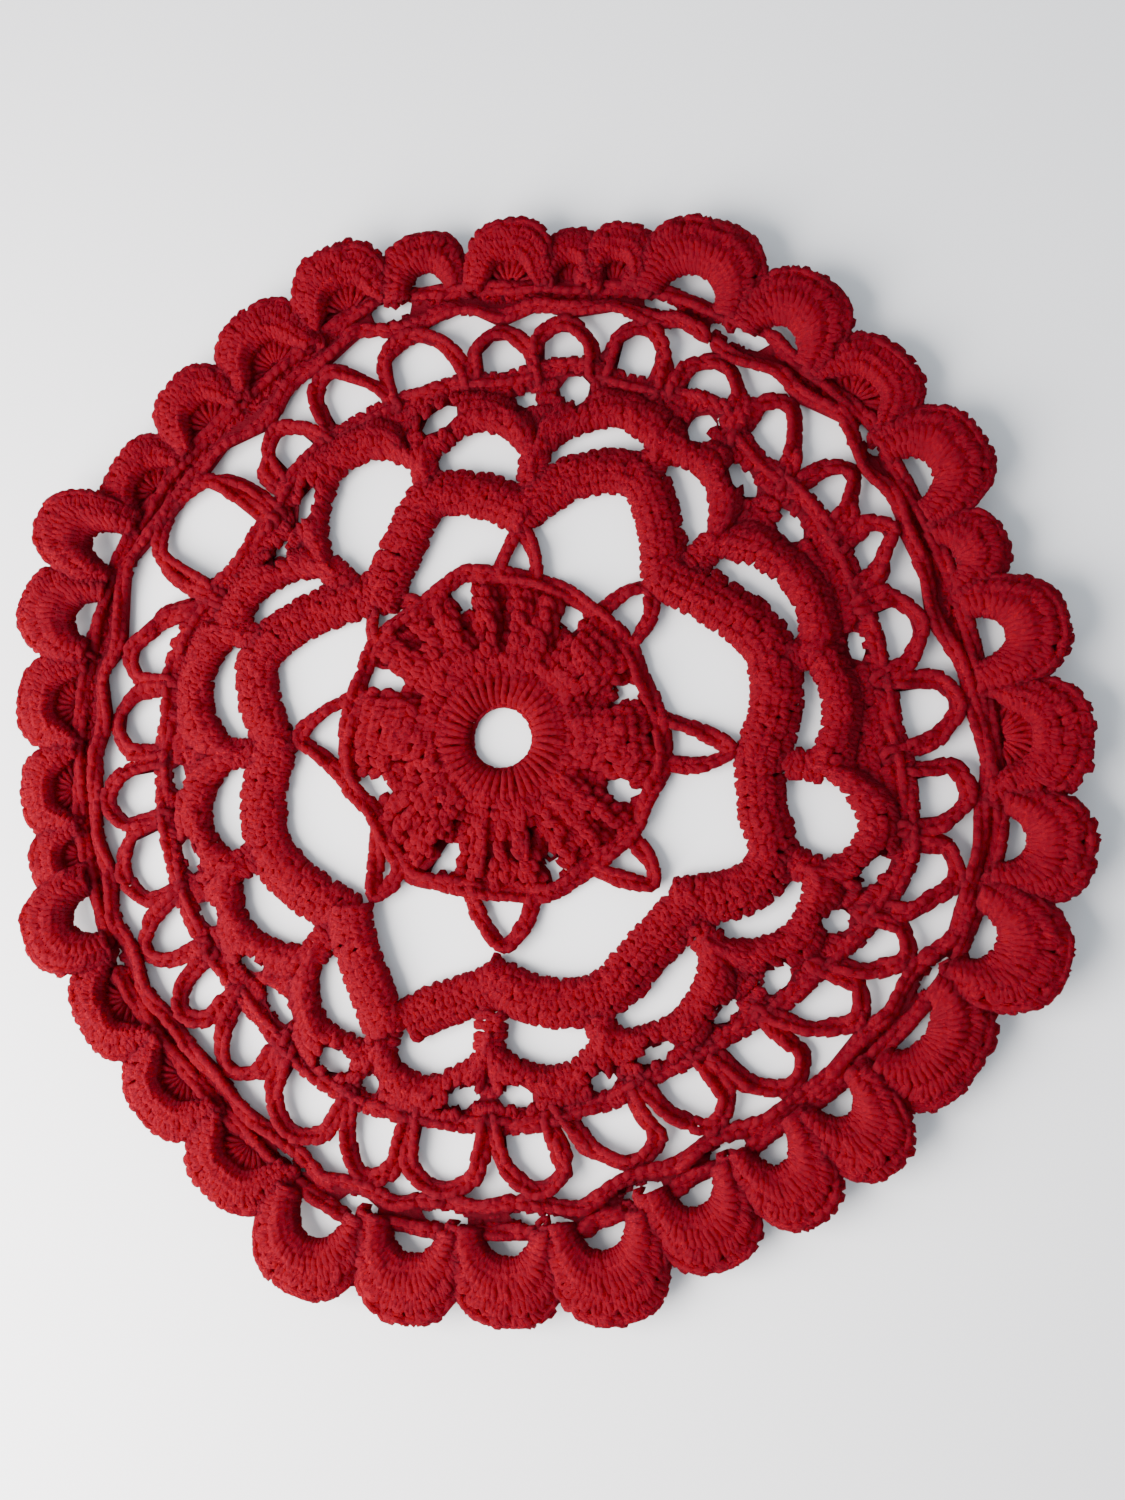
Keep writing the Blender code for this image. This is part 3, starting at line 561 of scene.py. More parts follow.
class Yarn:
    """Strands of yarn that together make one mesh."""

    def __init__(self, name):
        self.name = name
        self.points, self.faces, self.marks, self.tones = [], [], [], []
        self.count = 0

    def lay(self, lines, radius, closed, sides=5):
        """Adds a strand round each line. All the lines have the same number of points."""
        strands, length = lines.shape[:2]
        lines = np.concatenate([lines[..., :2], np.maximum(lines[..., 2:], radius)], axis=-1)
        ahead = np.roll(lines, -1, 1) - lines
        if closed:
            along = np.roll(lines, -1, 1) - np.roll(lines, 1, 1)
        else:
            along = np.gradient(lines, axis=1)
        along /= np.linalg.norm(along, axis=2)[..., None] + 1e-9
        side = np.cross(along[:, 0], (0.13, 0.17, 1.0))
        rings = []
        turns = np.arange(sides) * 2.0 * math.pi / sides
        for step in range(length):
            heading = along[:, step]
            side = side - heading * np.sum(side * heading, axis=1)[:, None]
            side /= np.linalg.norm(side, axis=1)[:, None] + 1e-9
            other = np.cross(heading, side)
            ring = side[:, None] * np.cos(turns)[:, None] + other[:, None] * np.sin(turns)[:, None]
            thin = 0.6 if not closed and step in (0, length - 1) else 1.0
            rings.append(lines[:, step, None] + ring * radius * thin)
        points = np.stack(rings, axis=1)
        steps = np.linalg.norm(ahead, axis=2)
        far = np.concatenate([np.zeros((strands, 1)), np.cumsum(steps, axis=1)], axis=1)
        if closed:
            far *= (np.maximum(np.round(far[:, -1] / PLY_PITCH), 1.0) * PLY_PITCH / far[:, -1])[:, None]

        spans = length if closed else length - 1
        near = np.arange(spans)
        following = (near + 1) % length
        corner = np.arange(sides)
        beside = (corner + 1) % sides
        first = np.arange(strands)[:, None, None] * length * sides
        low, high = near[None, :, None] * sides, following[None, :, None] * sides
        quads = [first + low + corner, first + low + beside, first + high + beside, first + high + corner]
        quads = np.stack(np.broadcast_arrays(*quads), axis=-1).reshape(-1, 4) + self.count
        self.faces += quads.tolist()
        here = far[:, :spans, None] + 0.0 * corner
        there = far[:, 1 : spans + 1, None] + 0.0 * corner
        turn = np.broadcast_to(corner / sides, here.shape)
        after = turn + 1.0 / sides
        marks = np.stack([here, turn, here, after, there, after, there, turn], axis=-1)
        self.marks.append(marks.reshape(-1, 2))
        if not closed:
            start = self.count + np.arange(strands)[:, None] * length * sides + corner[::-1]
            finish = start + (length - 1) * sides
            self.faces += start.tolist() + finish[:, ::-1].tolist()
            self.marks.append(np.zeros((2 * strands * sides, 2)))
        tone = np.repeat(RANDOM.random(strands), length * sides)
        self.points.append(points.reshape(-1, 3))
        self.tones.append(tone)
        self.count += strands * length * sides

    def made(self, material):
        """The mesh object of all the strands."""
        points = (np.concatenate(self.points) + (HUB_X, HUB_Y, 0.0)) * MM
        mesh = bpy.data.meshes.new(self.name)
        mesh.from_pydata(points, [], self.faces)
        layer = mesh.uv_layers.new(name="yarn")
        layer.data.foreach_set("uv", np.concatenate(self.marks).astype(np.float32).ravel())
        tone = mesh.attributes.new("tone", "FLOAT", "POINT")
        tone.data.foreach_set("value", np.concatenate(self.tones).astype(np.float32))
        mesh.shade_smooth()
        mesh.materials.append(material)
        piece = bpy.data.objects.new(self.name, mesh)
        bpy.context.scene.collection.objects.link(piece)
        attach(piece, "root")
        return piece


def columns(strip, pitch, offset=0.0):
    """The lengths along a strip at which its stitches stand, and how far apart they are."""
    count = max(int(round(strip.length / pitch)), 1)
    spacing = strip.length / count
    return (np.arange(count) + 0.5 + offset) * spacing, spacing


def teardrop(turns, taper, widest):
    """How far aside a loop of yarn 1 mm wide is over its turn. It narrows towards its foot."""
    return 0.5 * np.sin(turns) * (1.0 - taper - taper * np.cos(turns)) / widest


def chain(strip, pitch=CHAIN_PITCH, width=CORD_LOOK, hug=0.5, over=0, lift=0, radius=CORD_RADIUS, above=0):
    """A chain of loops, each drawn up through the one before, along a strip where it is wide enough.

    It hugs the strip's left edge at 0 and its right edge at 1, and reaches this far over that edge.
    It rolls to and fro on its way.
    """
    middles, spacing = columns(strip, pitch)
    middles = middles[strip.width(middles) > above]
    turns = (np.arange(CHAIN_POINTS) + 0.5) * 2.0 * math.pi / CHAIN_POINTS
    along = -np.cos(turns) * spacing * LOOP_REACH / 2.0
    aside = teardrop(turns, CHAIN_TAPER, CHAIN_WIDEST)
    height = -CHAIN_SLOPE * np.cos(turns) - CHAIN_ARCH * np.cos(2.0 * turns)
    wobble = RANDOM.normal(0.0, CHAIN_UNEVEN, (len(middles), 4, 1))
    along = middles[:, None] + along * (1.0 + wobble[:, 0]) + wobble[:, 1] * spacing
    local = strip.width(along)
    cord = np.minimum(local + CORD_SPARE, width)
    centre = 0.5 + (hug - 0.5) * (1.0 + (2.0 * over - cord) / local)
    roll = CHAIN_ROLL * np.sin(middles / ROLL_LENGTH + RANDOM.uniform(0.0, 2.0 * math.pi))[:, None]
    reach = aside * (1.0 + wobble[:, 2]) * (cord - 2.0 * radius)
    share = centre + reach * np.cos(roll) / local
    return strip.place(along, share, lift + height + reach * np.sin(roll) + 2.0 * wobble[:, 3])


def loops(strip, rows, pitch, face=1.0, row_height=None, points=LOOP_POINTS, lift=0.0, rough=1.0):
    """Close crochet on one face of a strip: rows of small loops, each reaching into the next row."""
    found = []
    turns = (np.arange(points) + 0.5) * 2.0 * math.pi / points
    for row in range(rows):
        middles, spacing = columns(strip, pitch, 0.5 * (row % 2) if strip.closed else 0.0)
        width = strip.width(middles)
        height = width / rows if row_height is None else np.full_like(width, row_height)
        if row_height is None:
            from_right = width - (row + 0.5) * height
        else:
            from_right = (row + 0.5) * height
            kept = from_right < width
            middles, width, height, from_right = (v[kept] for v in (middles, width, height, from_right))
        count = len(middles)
        if not count:
            continue
        wobble = RANDOM.normal(0.0, rough, (count, 6, 1)) * np.array(LOOP_UNEVEN)[:, None]
        tilt = wobble[:, 0] + LOOP_TILT * (-1.0) ** row
        aside = teardrop(turns, LOOP_TAPER, LOOP_WIDEST) * (spacing - LOOP_CLOSING) * (1.0 + wobble[:, 1])
        onward = -0.50 * np.cos(turns) * height[:, None] * (1.0 + wobble[:, 2])
        along = middles[:, None] + aside + tilt * onward + wobble[:, 3] * spacing
        out = from_right[:, None] - onward + wobble[:, 4] * height[:, None]
        share = 1.0 - out / strip.width(along)
        up = LOOP_LIFT - LOOP_SLOPE * np.cos(turns) - LOOP_ARCH * np.cos(2.0 * turns) + wobble[:, 5]
        up = np.maximum(up + RANDOM.normal(0.0, LUMPS, up.shape), LEAST_LIFT)
        found.append(strip.place(along + RANDOM.normal(0.0, LUMPS, along.shape), share, face * (lift + up)))
    return np.concatenate(found)


def posts(strip, pitch, low, high, twists, face=1.0, spread=POST_SPREAD, points=POST_POINTS):
    """Long stitches across a strip: each is two strands that wind round each other, wider at the top."""
    middles, spacing = columns(strip, pitch)
    t = np.linspace(0.0, 1.0, points)
    found = []
    starts = RANDOM.uniform(0.0, 0.9, len(middles))[:, None]
    wobble = RANDOM.normal(0.0, 1.0, (len(middles), 3, 1))
    for strand in range(2):
        turns = 2.0 * math.pi * (twists * t + 0.5 * strand) + starts
        aside = (spread[0] + (spread[1] - spread[0]) * t) * np.cos(turns)
        along = middles[:, None] + aside + 0.05 * spacing * wobble[:, 0]
        share = low + (high - low) * t + 0.015 * wobble[:, 1]
        height = POST_LIFT + POST_WIND * np.sin(turns) + 0.06 * wobble[:, 2]
        found.append(strip.place(along, share, face * height))
    return np.concatenate(found)


def opened(lines, gaps=None):
    """The loops moved aside to leave the small gaps open, without those in the middle of a gap."""
    lines = lines.copy()
    for degree, distance, half_length, half_height, turned in SMALL_GAPS:
        middle = polar(degree, distance)
        outward = polar(degree - turned, 1.0)
        onward = np.array([-outward[1], outward[0]])
        centres = lines.mean(axis=1)
        share = centres[:, 2:] / EYE[2]
        seen = (centres[:, :2] - np.array(EYE[:2]) * share) / (1.0 - share) - middle
        half = np.array([half_length + GAP_ROOM, half_height + GAP_ROOM])
        place = np.stack([seen @ onward, seen @ outward], axis=1) / half
        reach = np.linalg.norm(place, axis=1)
        kept = reach > GAP_CORE
        lines, place, reach = lines[kept], place[kept], reach[kept]
        fade = np.clip(GAP_FADE - reach, 0.0, 1.0)
        push = (np.sqrt(reach**2 + 1.0) / reach - 1.0) * fade
        move = place * half * push[:, None]
        lines[:, :, :2] += (move[:, :1] * onward + move[:, 1:] * outward)[:, None]
    return lines


def round_strip(degrees, inner, outer, height, thickness, bulge=0.0):
    """A closed strip all the way round the hub."""
    inside = raised(polar(degrees, inner), height, thickness)
    outside = raised(polar(degrees, outer), height, thickness)
    return Strip(inside, outside, True, bulge)


def puffed(lines, edge_degrees, edge_distances, share=1.0):
    """The rosette's loops raised in its petals and let down in its folds, none over a notch."""
    centres = lines.mean(axis=1)
    degrees = np.degrees(np.arctan2(centres[:, 1], centres[:, 0])) % 360.0
    distances = np.hypot(centres[:, 0], centres[:, 1])
    reach = np.interp(degrees, edge_degrees, edge_distances, period=360.0)
    way = np.clip((distances - ROWS_FROM) / (reach - ROWS_FROM), 0.0, 1.0)
    starts = np.array(NOTCHES)[:, 0]
    middles = (starts + ((np.roll(starts, -1) - starts) % 360.0) / 2.0) % 360.0
    lift = np.interp(degrees, middles, PETAL_PUFFS, period=360.0) * way**0.6 * (1.0 - way**4)
    folds = [(middle, end - NOTCH_RUN, half * NOTCH_SPREAD, NOTCH_DEPTH) for middle, end, half in NOTCHES]
    for degree, start, half, depth in folds + list(FOLDS_OF_PETALS):
        off = (degrees - degree + 180.0) % 360.0 - 180.0
        lift -= depth * np.exp(-((off / half) ** 2)) * np.clip((distances - start) / FOLD_ONSET, 0.0, 1.0)
    lift = np.maximum(lift + ROSETTE_BASE * (1.0 - way**4), 0.0) * share
    kept = np.ones(len(lines), bool)
    for degree, bottom, half in NOTCHES:
        turned = np.degrees(np.arctan2(lines[..., 1], lines[..., 0])) - degree
        off = np.abs((turned + 180.0) % 360.0 - 180.0).min(axis=1)
        kept &= (off > half * NOTCH_LOOK) | (distances < bottom + 0.4) | (distances > reach - 1.6)
    lines = lines[kept].copy()
    lift = lift[kept][:, None]
    lines[..., :2] += (np.array(EYE[:2]) - lines[..., :2]) * (lift / (EYE[2] - lines[..., 2]))[..., None]
    lines[..., 2] += lift
    return lines


def rosette(material):
    """The thick middle: long stitches round the hole, then eight puffed petals of close rows."""
    yarn = Yarn("rosette")
    degrees = np.arange(0.0, 360.0, 3.0)
    hole = polar(degrees, HOLE_RADIUS + 0.2) + HOLE_OFFSET
    rim = polar(degrees, ROWS_FROM + 0.8)
    middle = Strip(at_height(hole, 2.0), at_height(rim, STITCH_RING_HEIGHT), True, 0.5)
    pitch = middle.length / RING_POSTS
    yarn.lay(posts(middle, pitch, 0.0, 1.10, 0.45, spread=(0.22, 0.50)), 0.80, False)
    yarn.lay(posts(middle, 2.0 * pitch, 0.05, 0.95, 0.4, -1.0, (0.6, 0.9), 4), 0.5, False, 4)
    inner, outer = hole - polar(degrees, 0.7), hole + polar(degrees, 1.0)
    lip = Strip(at_height(inner, 1.6), at_height(outer, 1.6), True)
    yarn.lay(chain(lip, 1.6, 2.4, radius=0.5), 0.5, True)

    edge_degrees, edge_distances = np.array(ROSETTE_EDGE).T
    dense = np.arange(0.0, 360.0, 2.0)
    edge = smoothed(np.interp(dense, edge_degrees, edge_distances, period=360.0), 3)
    for row in range(ROSETTE_ROWS):
        ends = ROWS_FROM + (edge - 0.6 - ROWS_FROM) * (np.array([row, row + 1]) / ROSETTE_ROWS)[:, None]
        close = round_strip(dense, ends[0], ends[1], 0.0, 2.0)
        lines = loops(close, 1, ROSETTE_PITCH, rough=ROSETTE_ROUGH)
        yarn.lay(puffed(lines, edge_degrees, edge_distances), ROSETTE_RADIUS, True)
        if row % 2:
            under = round_strip(dense, ends[0] - 1.2, ends[1] + 1.2, 0.2, 2.0)
            lines = loops(under, 1, UNDER_PITCH, -1.0, points=UNDER_POINTS)
            yarn.lay(puffed(lines, edge_degrees, edge_distances, 0.0), UNDER_RADIUS, True, 4)

    half = CORD_LOOK / 2.0
    ring = round_strip(dense, edge - half, edge + half, 0.9, ROW_THICKNESS)
    yarn.lay(chain(ring), CORD_RADIUS, True)
    for number, link in enumerate(LINKS):
        line = line_through(polar(*np.array(link).T), 28)
        sides = sides_of(line, CORD_WIDTH - 0.3)
        height = 0.55 + 0.07 * (number % 3)
        left, right = (raised(side, height, CORD_THICKNESS) for side in sides)
        yarn.lay(chain(Strip(left, right), hug=0.0, over=1.3), CORD_RADIUS, True)
    return yarn.made(material)


def inner_band(material):
    """The lobes of close crochet round the rosette."""
    yarn = Yarn("inner_band")
    for start, up, crown, down, end, half_width, height in INNER_LOBES:
        points = polar(*np.array((start, up, crown, down, end)).T)
        for last, inward in ((0, 1), (-1, -2)):
            beyond = points[last] - points[inward]
            points[last] += beyond * PINCH_OVERLAP / np.linalg.norm(beyond)
        sides = sides_of(line_through(points, 36), 2.0 * half_width - 0.1)
        left, right = (raised(side, height, BAND_THICKNESS) for side in sides)
        lobe = Strip(left, right, False, BAND_SWELL)
        yarn.lay(loops(lobe, BAND_ROWS, STITCH_PITCH), YARN_RADIUS, True)
        yarn.lay(loops(lobe, 3, UNDER_PITCH, -1.0, points=UNDER_POINTS), UNDER_RADIUS, True, 4)
    return yarn.made(material)


def foot_row():
    """The outer side of the row that the lattice stands on: angles and distances."""
    nodes = []
    for number, (left_foot, _, _, right_foot, foot, _, _, _) in enumerate(ARCHES):
        after = ARCHES[(number + 1) % len(ARCHES)]
        next_foot = after[0] - 360.0 * (number + 1 == len(ARCHES))
        nodes.append(((left_foot + right_foot) / 2.0, foot))
        nodes.append(((next_foot + right_foot) / 2.0, (foot + after[4]) / 2.0 + 0.8))
    return np.array(nodes[::-1]).T


def outer_bands(material):
    """The second band in two pieces: arcs that touch the inner band, and the rows out to the lattice."""
    degrees, inner = [], []
    steps = 20
    for number, (start, touch, bowed) in enumerate(OUTER_ARCS):
        next_start, next_touch, _ = OUTER_ARCS[(number + 1) % len(OUTER_ARCS)]
        span = (next_start - start) % 360.0
        for step in range(steps):
            t = step / steps
            bow = math.sin(math.pi * t) ** ARC_BOW
            degrees.append(start + span * t)
            inner.append(touch + (next_touch - touch) * t + (bowed - (touch + next_touch) / 2.0) * bow)
    degrees, inner = np.array(degrees), np.array(inner) - 0.2
    outer = smoothed(np.interp(degrees, *foot_row(), period=360.0), 5)
    slope = np.gradient(np.concatenate([inner[-1:], inner, inner[:1]]))[1:-1]
    slope /= np.radians(360.0 / len(degrees)) * inner
    border = np.minimum(inner + BORDER_WIDTH * np.minimum(np.hypot(1.0, slope), 1.35), outer - 0.5)

    yarn = Yarn("outer_band")
    arcs = round_strip(degrees, inner, border, 0.5, OUTER_BAND_THICKNESS, BAND_SWELL)
    rest = round_strip(degrees, border - 0.8, outer, 0.3, OUTER_BAND_THICKNESS)
    yarn.lay(opened(loops(arcs, BORDER_ROWS, STITCH_PITCH)), YARN_RADIUS, True)
    yarn.lay(opened(loops(arcs, 3, UNDER_PITCH, -1.0, points=UNDER_POINTS)), UNDER_RADIUS, True, 4)
    beyond = Yarn("outer_rows")
    beyond.lay(opened(loops(rest, 9, 2.2, row_height=2.3)), YARN_RADIUS, True)
    lines = loops(rest, 6, UNDER_PITCH, -1.0, row_height=3.1, points=UNDER_POINTS)
    beyond.lay(opened(lines), UNDER_RADIUS, True, 4)
    beyond.lay(opened(chain(rest, hug=1.0, over=0.3, width=4.4, lift=0.35)), CORD_RADIUS, True)
    for start, touch, _ in OUTER_ARCS:
        way = np.linspace(touch - JOIN_REACH[0], touch + JOIN_REACH[1], 9)
        spread = np.degrees(JOIN_WIDTH / 2.0 / way)
        edges = (polar(start + spread, way), polar(start - spread, way))
        left, right = (raised(edge, 0.4, BAND_THICKNESS) for edge in edges)
        yarn.lay(loops(Strip(left, right, False, 1.2), 3, STITCH_PITCH), YARN_RADIUS, True)
    return [yarn.made(material), beyond.made(material)]


def lattice(material):
    """The loops of chain outside the bands."""
    yarn = Yarn("lattice")
    for number, arch in enumerate(ARCHES):
        left_foot, left_top, right_top, right_foot, foot, fork_after, top, _ = arch
        before, after = ARCHES[number - 1], ARCHES[(number + 1) % len(ARCHES)]
        to_left = math.radians((before[3] - left_foot) % 360.0) * foot / 2.0
        to_right = math.radians((right_foot - after[0]) % 360.0) * foot / 2.0
        to_left, to_right = np.clip((to_left, to_right), 2.6, 6.0)
        left_fork, right_fork = np.minimum((before[5], fork_after), top - 1.6)
        left_way = (left_fork - foot) / (top - foot)
        right_way = (right_fork - foot) / (top - foot)
        left_side = left_foot + (left_top - left_foot) * left_way
        right_side = right_foot + (right_top - right_foot) * right_way
        crown = (left_top + right_top) / 2.0
        low, high = foot - 2.2, top - 2.4
        degrees = np.array([left_foot, left_side, left_top, crown, right_top, right_side, right_foot])
        left_bend, right_bend = np.minimum((left_fork, right_fork), high - 0.6)
        inside = np.array([low, left_bend, high, top, high, right_bend, low])
        slim = CORD_WIDTH - 0.4
        widths = np.array([to_left, max(to_left, slim), slim, 0.0, -slim, -max(to_right, slim), -to_right])
        outside = np.array([low, left_fork, top - 1.0, top + CORD_WIDTH, top - 1.0, right_fork, low])
        left = line_through(polar(degrees + np.degrees(widths / foot), outside), 48)
        right = line_through(polar(degrees, inside), 48)
        height = 0.8 + 0.14 * (2 * number % 5)
        left, right = raised(left, height, CORD_THICKNESS), raised(right, height, CORD_THICKNESS)
        arch = Strip(left, right)
        yarn.lay(chain(arch, hug=1.0, over=-0.1), CORD_RADIUS, True)
        yarn.lay(chain(arch, hug=0.0, over=1.2, width=4.0, lift=-0.2, above=4.3), CORD_RADIUS, True)
    return yarn.made(material)


def edge_rows(material):
    """The rows of chain between the lattice and the scallops."""
    degrees, inner = [], []
    for number, (_, left_top, right_top, right_foot, _, _, top, span) in enumerate(ARCHES):
        next_foot = ARCHES[(number + 1) % len(ARCHES)][0] - 360.0 * (number + 1 == len(ARCHES))
        degrees += [(left_top + right_top) / 2.0, (next_foot + right_foot) / 2.0]
        inner += [min(top + CROWN_TO_ROW, span), span]
    table = np.array(SCALLOPS)
    dense = np.arange(0.0, 360.0, 1.0)
    inner = smoothed(np.interp(dense, degrees[::-1], inner[::-1], period=360.0), 5)
    outer = smoothed(np.interp(dense, table[:, 0], table[:, 2], period=360.0), 5) + CHAIN_BEYOND
    rows = round_strip(dense, inner, outer, 0.8, ROW_THICKNESS)
    yarn = Yarn("edge_rows")
    yarn.lay(opened(chain(rows, hug=0.0, over=-0.3, width=4.2, lift=0.6)), CORD_RADIUS, True)
    yarn.lay(opened(chain(rows, hug=1.0, over=0.2, width=4.2, lift=0.3)), CORD_RADIUS, True)
    between = rows.part(0.22, 0.92)
    yarn.lay(opened(loops(between, 2, STITCH_PITCH, lift=-1.2)), YARN_RADIUS, True)
    yarn.lay(opened(loops(between, 2, UNDER_PITCH, -1.0, points=UNDER_POINTS)), UNDER_RADIUS, True, 4)
    return yarn.made(material)


def scallops(material):
    """The fans of long stitches round the edge, each with a chain along its rim."""
    pieces = []
    for half in range(2):
        yarn = Yarn(f"scallops_{'ab'[half]}")
        for degree, half_width, below, opening, tip, lift in SCALLOPS[half::2]:
            wide = math.radians(half_width) * tip * 0.94 * SCALLOP_OVERLAP
            reach = tip - below
            hollow = max(opening - below, LEAST_OPENING)
            turns = np.radians(np.linspace(-SCALLOP_SPREAD, SCALLOP_SPREAD, 41))
            side, out = np.sin(turns), np.cos(turns)
            power = SCALLOP_SQUARENESS
            size = (np.abs(side / wide) ** power + np.abs(out / reach) ** power) ** (-1.0 / power)
            gap = ((side / (wide * OPENING_SHARE)) ** 2 + (out / hollow) ** 2) ** -0.5
            outward = polar(degree, 1.0)
            sideways = np.array([outward[1], -outward[0]])
            ribs = side[:, None] * sideways + out[:, None] * outward
            near = polar(degree, below) + ribs * gap[:, None] * OPENING_LOOK
            far = polar(degree, below) + ribs * (size[:, None] - RIM_INSET)
            up = np.clip(out, 0.0, 1.0) * lift
            left = raised(near, 0.9 + 0.25 * up, SCALLOP_THICKNESS)
            right = raised(far, 0.6 + 0.8 * up, SCALLOP_THICKNESS)
            whole = Strip(left, right, False, 0.3)
            count = max(round(np.linalg.norm(np.diff(right, axis=0), axis=1).sum() / POST_PITCH), 1)
            hidden = opening - below < HIDDEN_OPENING
            if hidden:
                brink = near + (far - near) * HOLLOW_SHARE
                left = raised(brink, 0.7 + 0.3 * up, SCALLOP_THICKNESS)
                bottom = Strip(raised(near, 0.0, 2.0), raised(brink, 0.0, 2.6))
                yarn.lay(loops(bottom, 2, RIM_PITCH), UNDER_RADIUS, True)
            roll = Strip(left, right, False, ROLL_BULGE)
            pitch = roll.length / count
            ends, rows = (HIDDEN_RIM_SHARE, 3) if hidden else (RIM_SHARE, 2)
            yarn.lay(posts(roll, pitch, 0.0, ends + 0.08, 0.5 * reach / 10.0), POST_RADIUS, False)
            rim = roll.part(ends, 1.0, 0.9)
            yarn.lay(loops(rim, rows, RIM_PITCH), YARN_RADIUS, True)
            under = 2.0 * whole.length / count
            yarn.lay(posts(whole, under, 0.05, 0.84, 0.8, -1.0, (0.7, 0.9), 5), UNDER_RADIUS, False, 4)
            yarn.lay(chain(rim, RIM_PITCH, 3.0, 1.0, 0.3, 0.1, radius=0.8), 0.8, True)
        pieces.append(yarn.made(material))
    return pieces


def sinks(x, y):
    """Whether the cloth sinks here: under the petals, and in the hollow of a scallop without an opening."""
    distance, degree = math.hypot(x, y), math.degrees(math.atan2(y, x))
    if distance < ROSETTE_REACH:
        return True
    for middle, half_width, below, opening, tip, _ in SCALLOPS:
        off = abs((degree - middle + 180.0) % 360.0 - 180.0)
        inside = -1.5 < distance - below < (HOLLOW_SHARE + 0.1) * (tip - below)
        if opening - below < HIDDEN_OPENING and inside and off < 0.7 * half_width:
            return True
    return False


def ground(material):
    """The cloth under the yarn: the part's own shape, a little thinner, and sunk in places."""
    shape = bmesh.new()
    shape.from_mesh(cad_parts["doily"].data)
    bmesh.ops.remove_doubles(shape, verts=shape.verts[:], dist=WELD * MM)
    shape.normal_update()
    inwards = [vertex.normal * GROUND_SHRINK * MM for vertex in shape.verts]
    for vertex, inward in zip(shape.verts, inwards):
        vertex.co -= inward
        x, y, z = vertex.co / MM
        if z > SINK_TO and sinks(x - HUB_X, y - HUB_Y):
            vertex.co.z = SINK_TO * MM
    mesh = bpy.data.meshes.new("ground")
    shape.to_mesh(mesh)
    shape.free()
    mesh.materials.clear()
    mesh.materials.append(material)
    mesh.shade_smooth()
    piece = bpy.data.objects.new("ground", mesh)
    bpy.context.scene.collection.objects.link(piece)
    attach(piece, "root")
    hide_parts("doily")
    return piece


def node(tree, kind, inputs=(), **settings):
    """A new node with its settings and its input values or links."""
    made = tree.nodes.new(kind)
    for name, value in settings.items():
        setattr(made, name, value)
    for key, value in dict(inputs).items():
        if isinstance(value, bpy.types.NodeSocket):
            tree.links.new(value, made.inputs[key])
        else:
            made.inputs[key].default_value = value
    return made


def math_node(tree, operation, *values):
    """The result of a math node on these values or links."""
    return node(tree, "ShaderNodeMath", dict(enumerate(values)), operation=operation).outputs[0]


def ramp(tree, factor, stops):
    """A colour ramp over the factor."""
    made = node(tree, "ShaderNodeValToRGB", {"Fac": factor})
    elements = made.color_ramp.elements
    while len(elements) < len(stops):
        elements.new(0.5)
    for element, (place, colour) in zip(elements, stops):
        element.position = place
        element.color = (*colour, 1.0)
    return made.outputs["Color"]


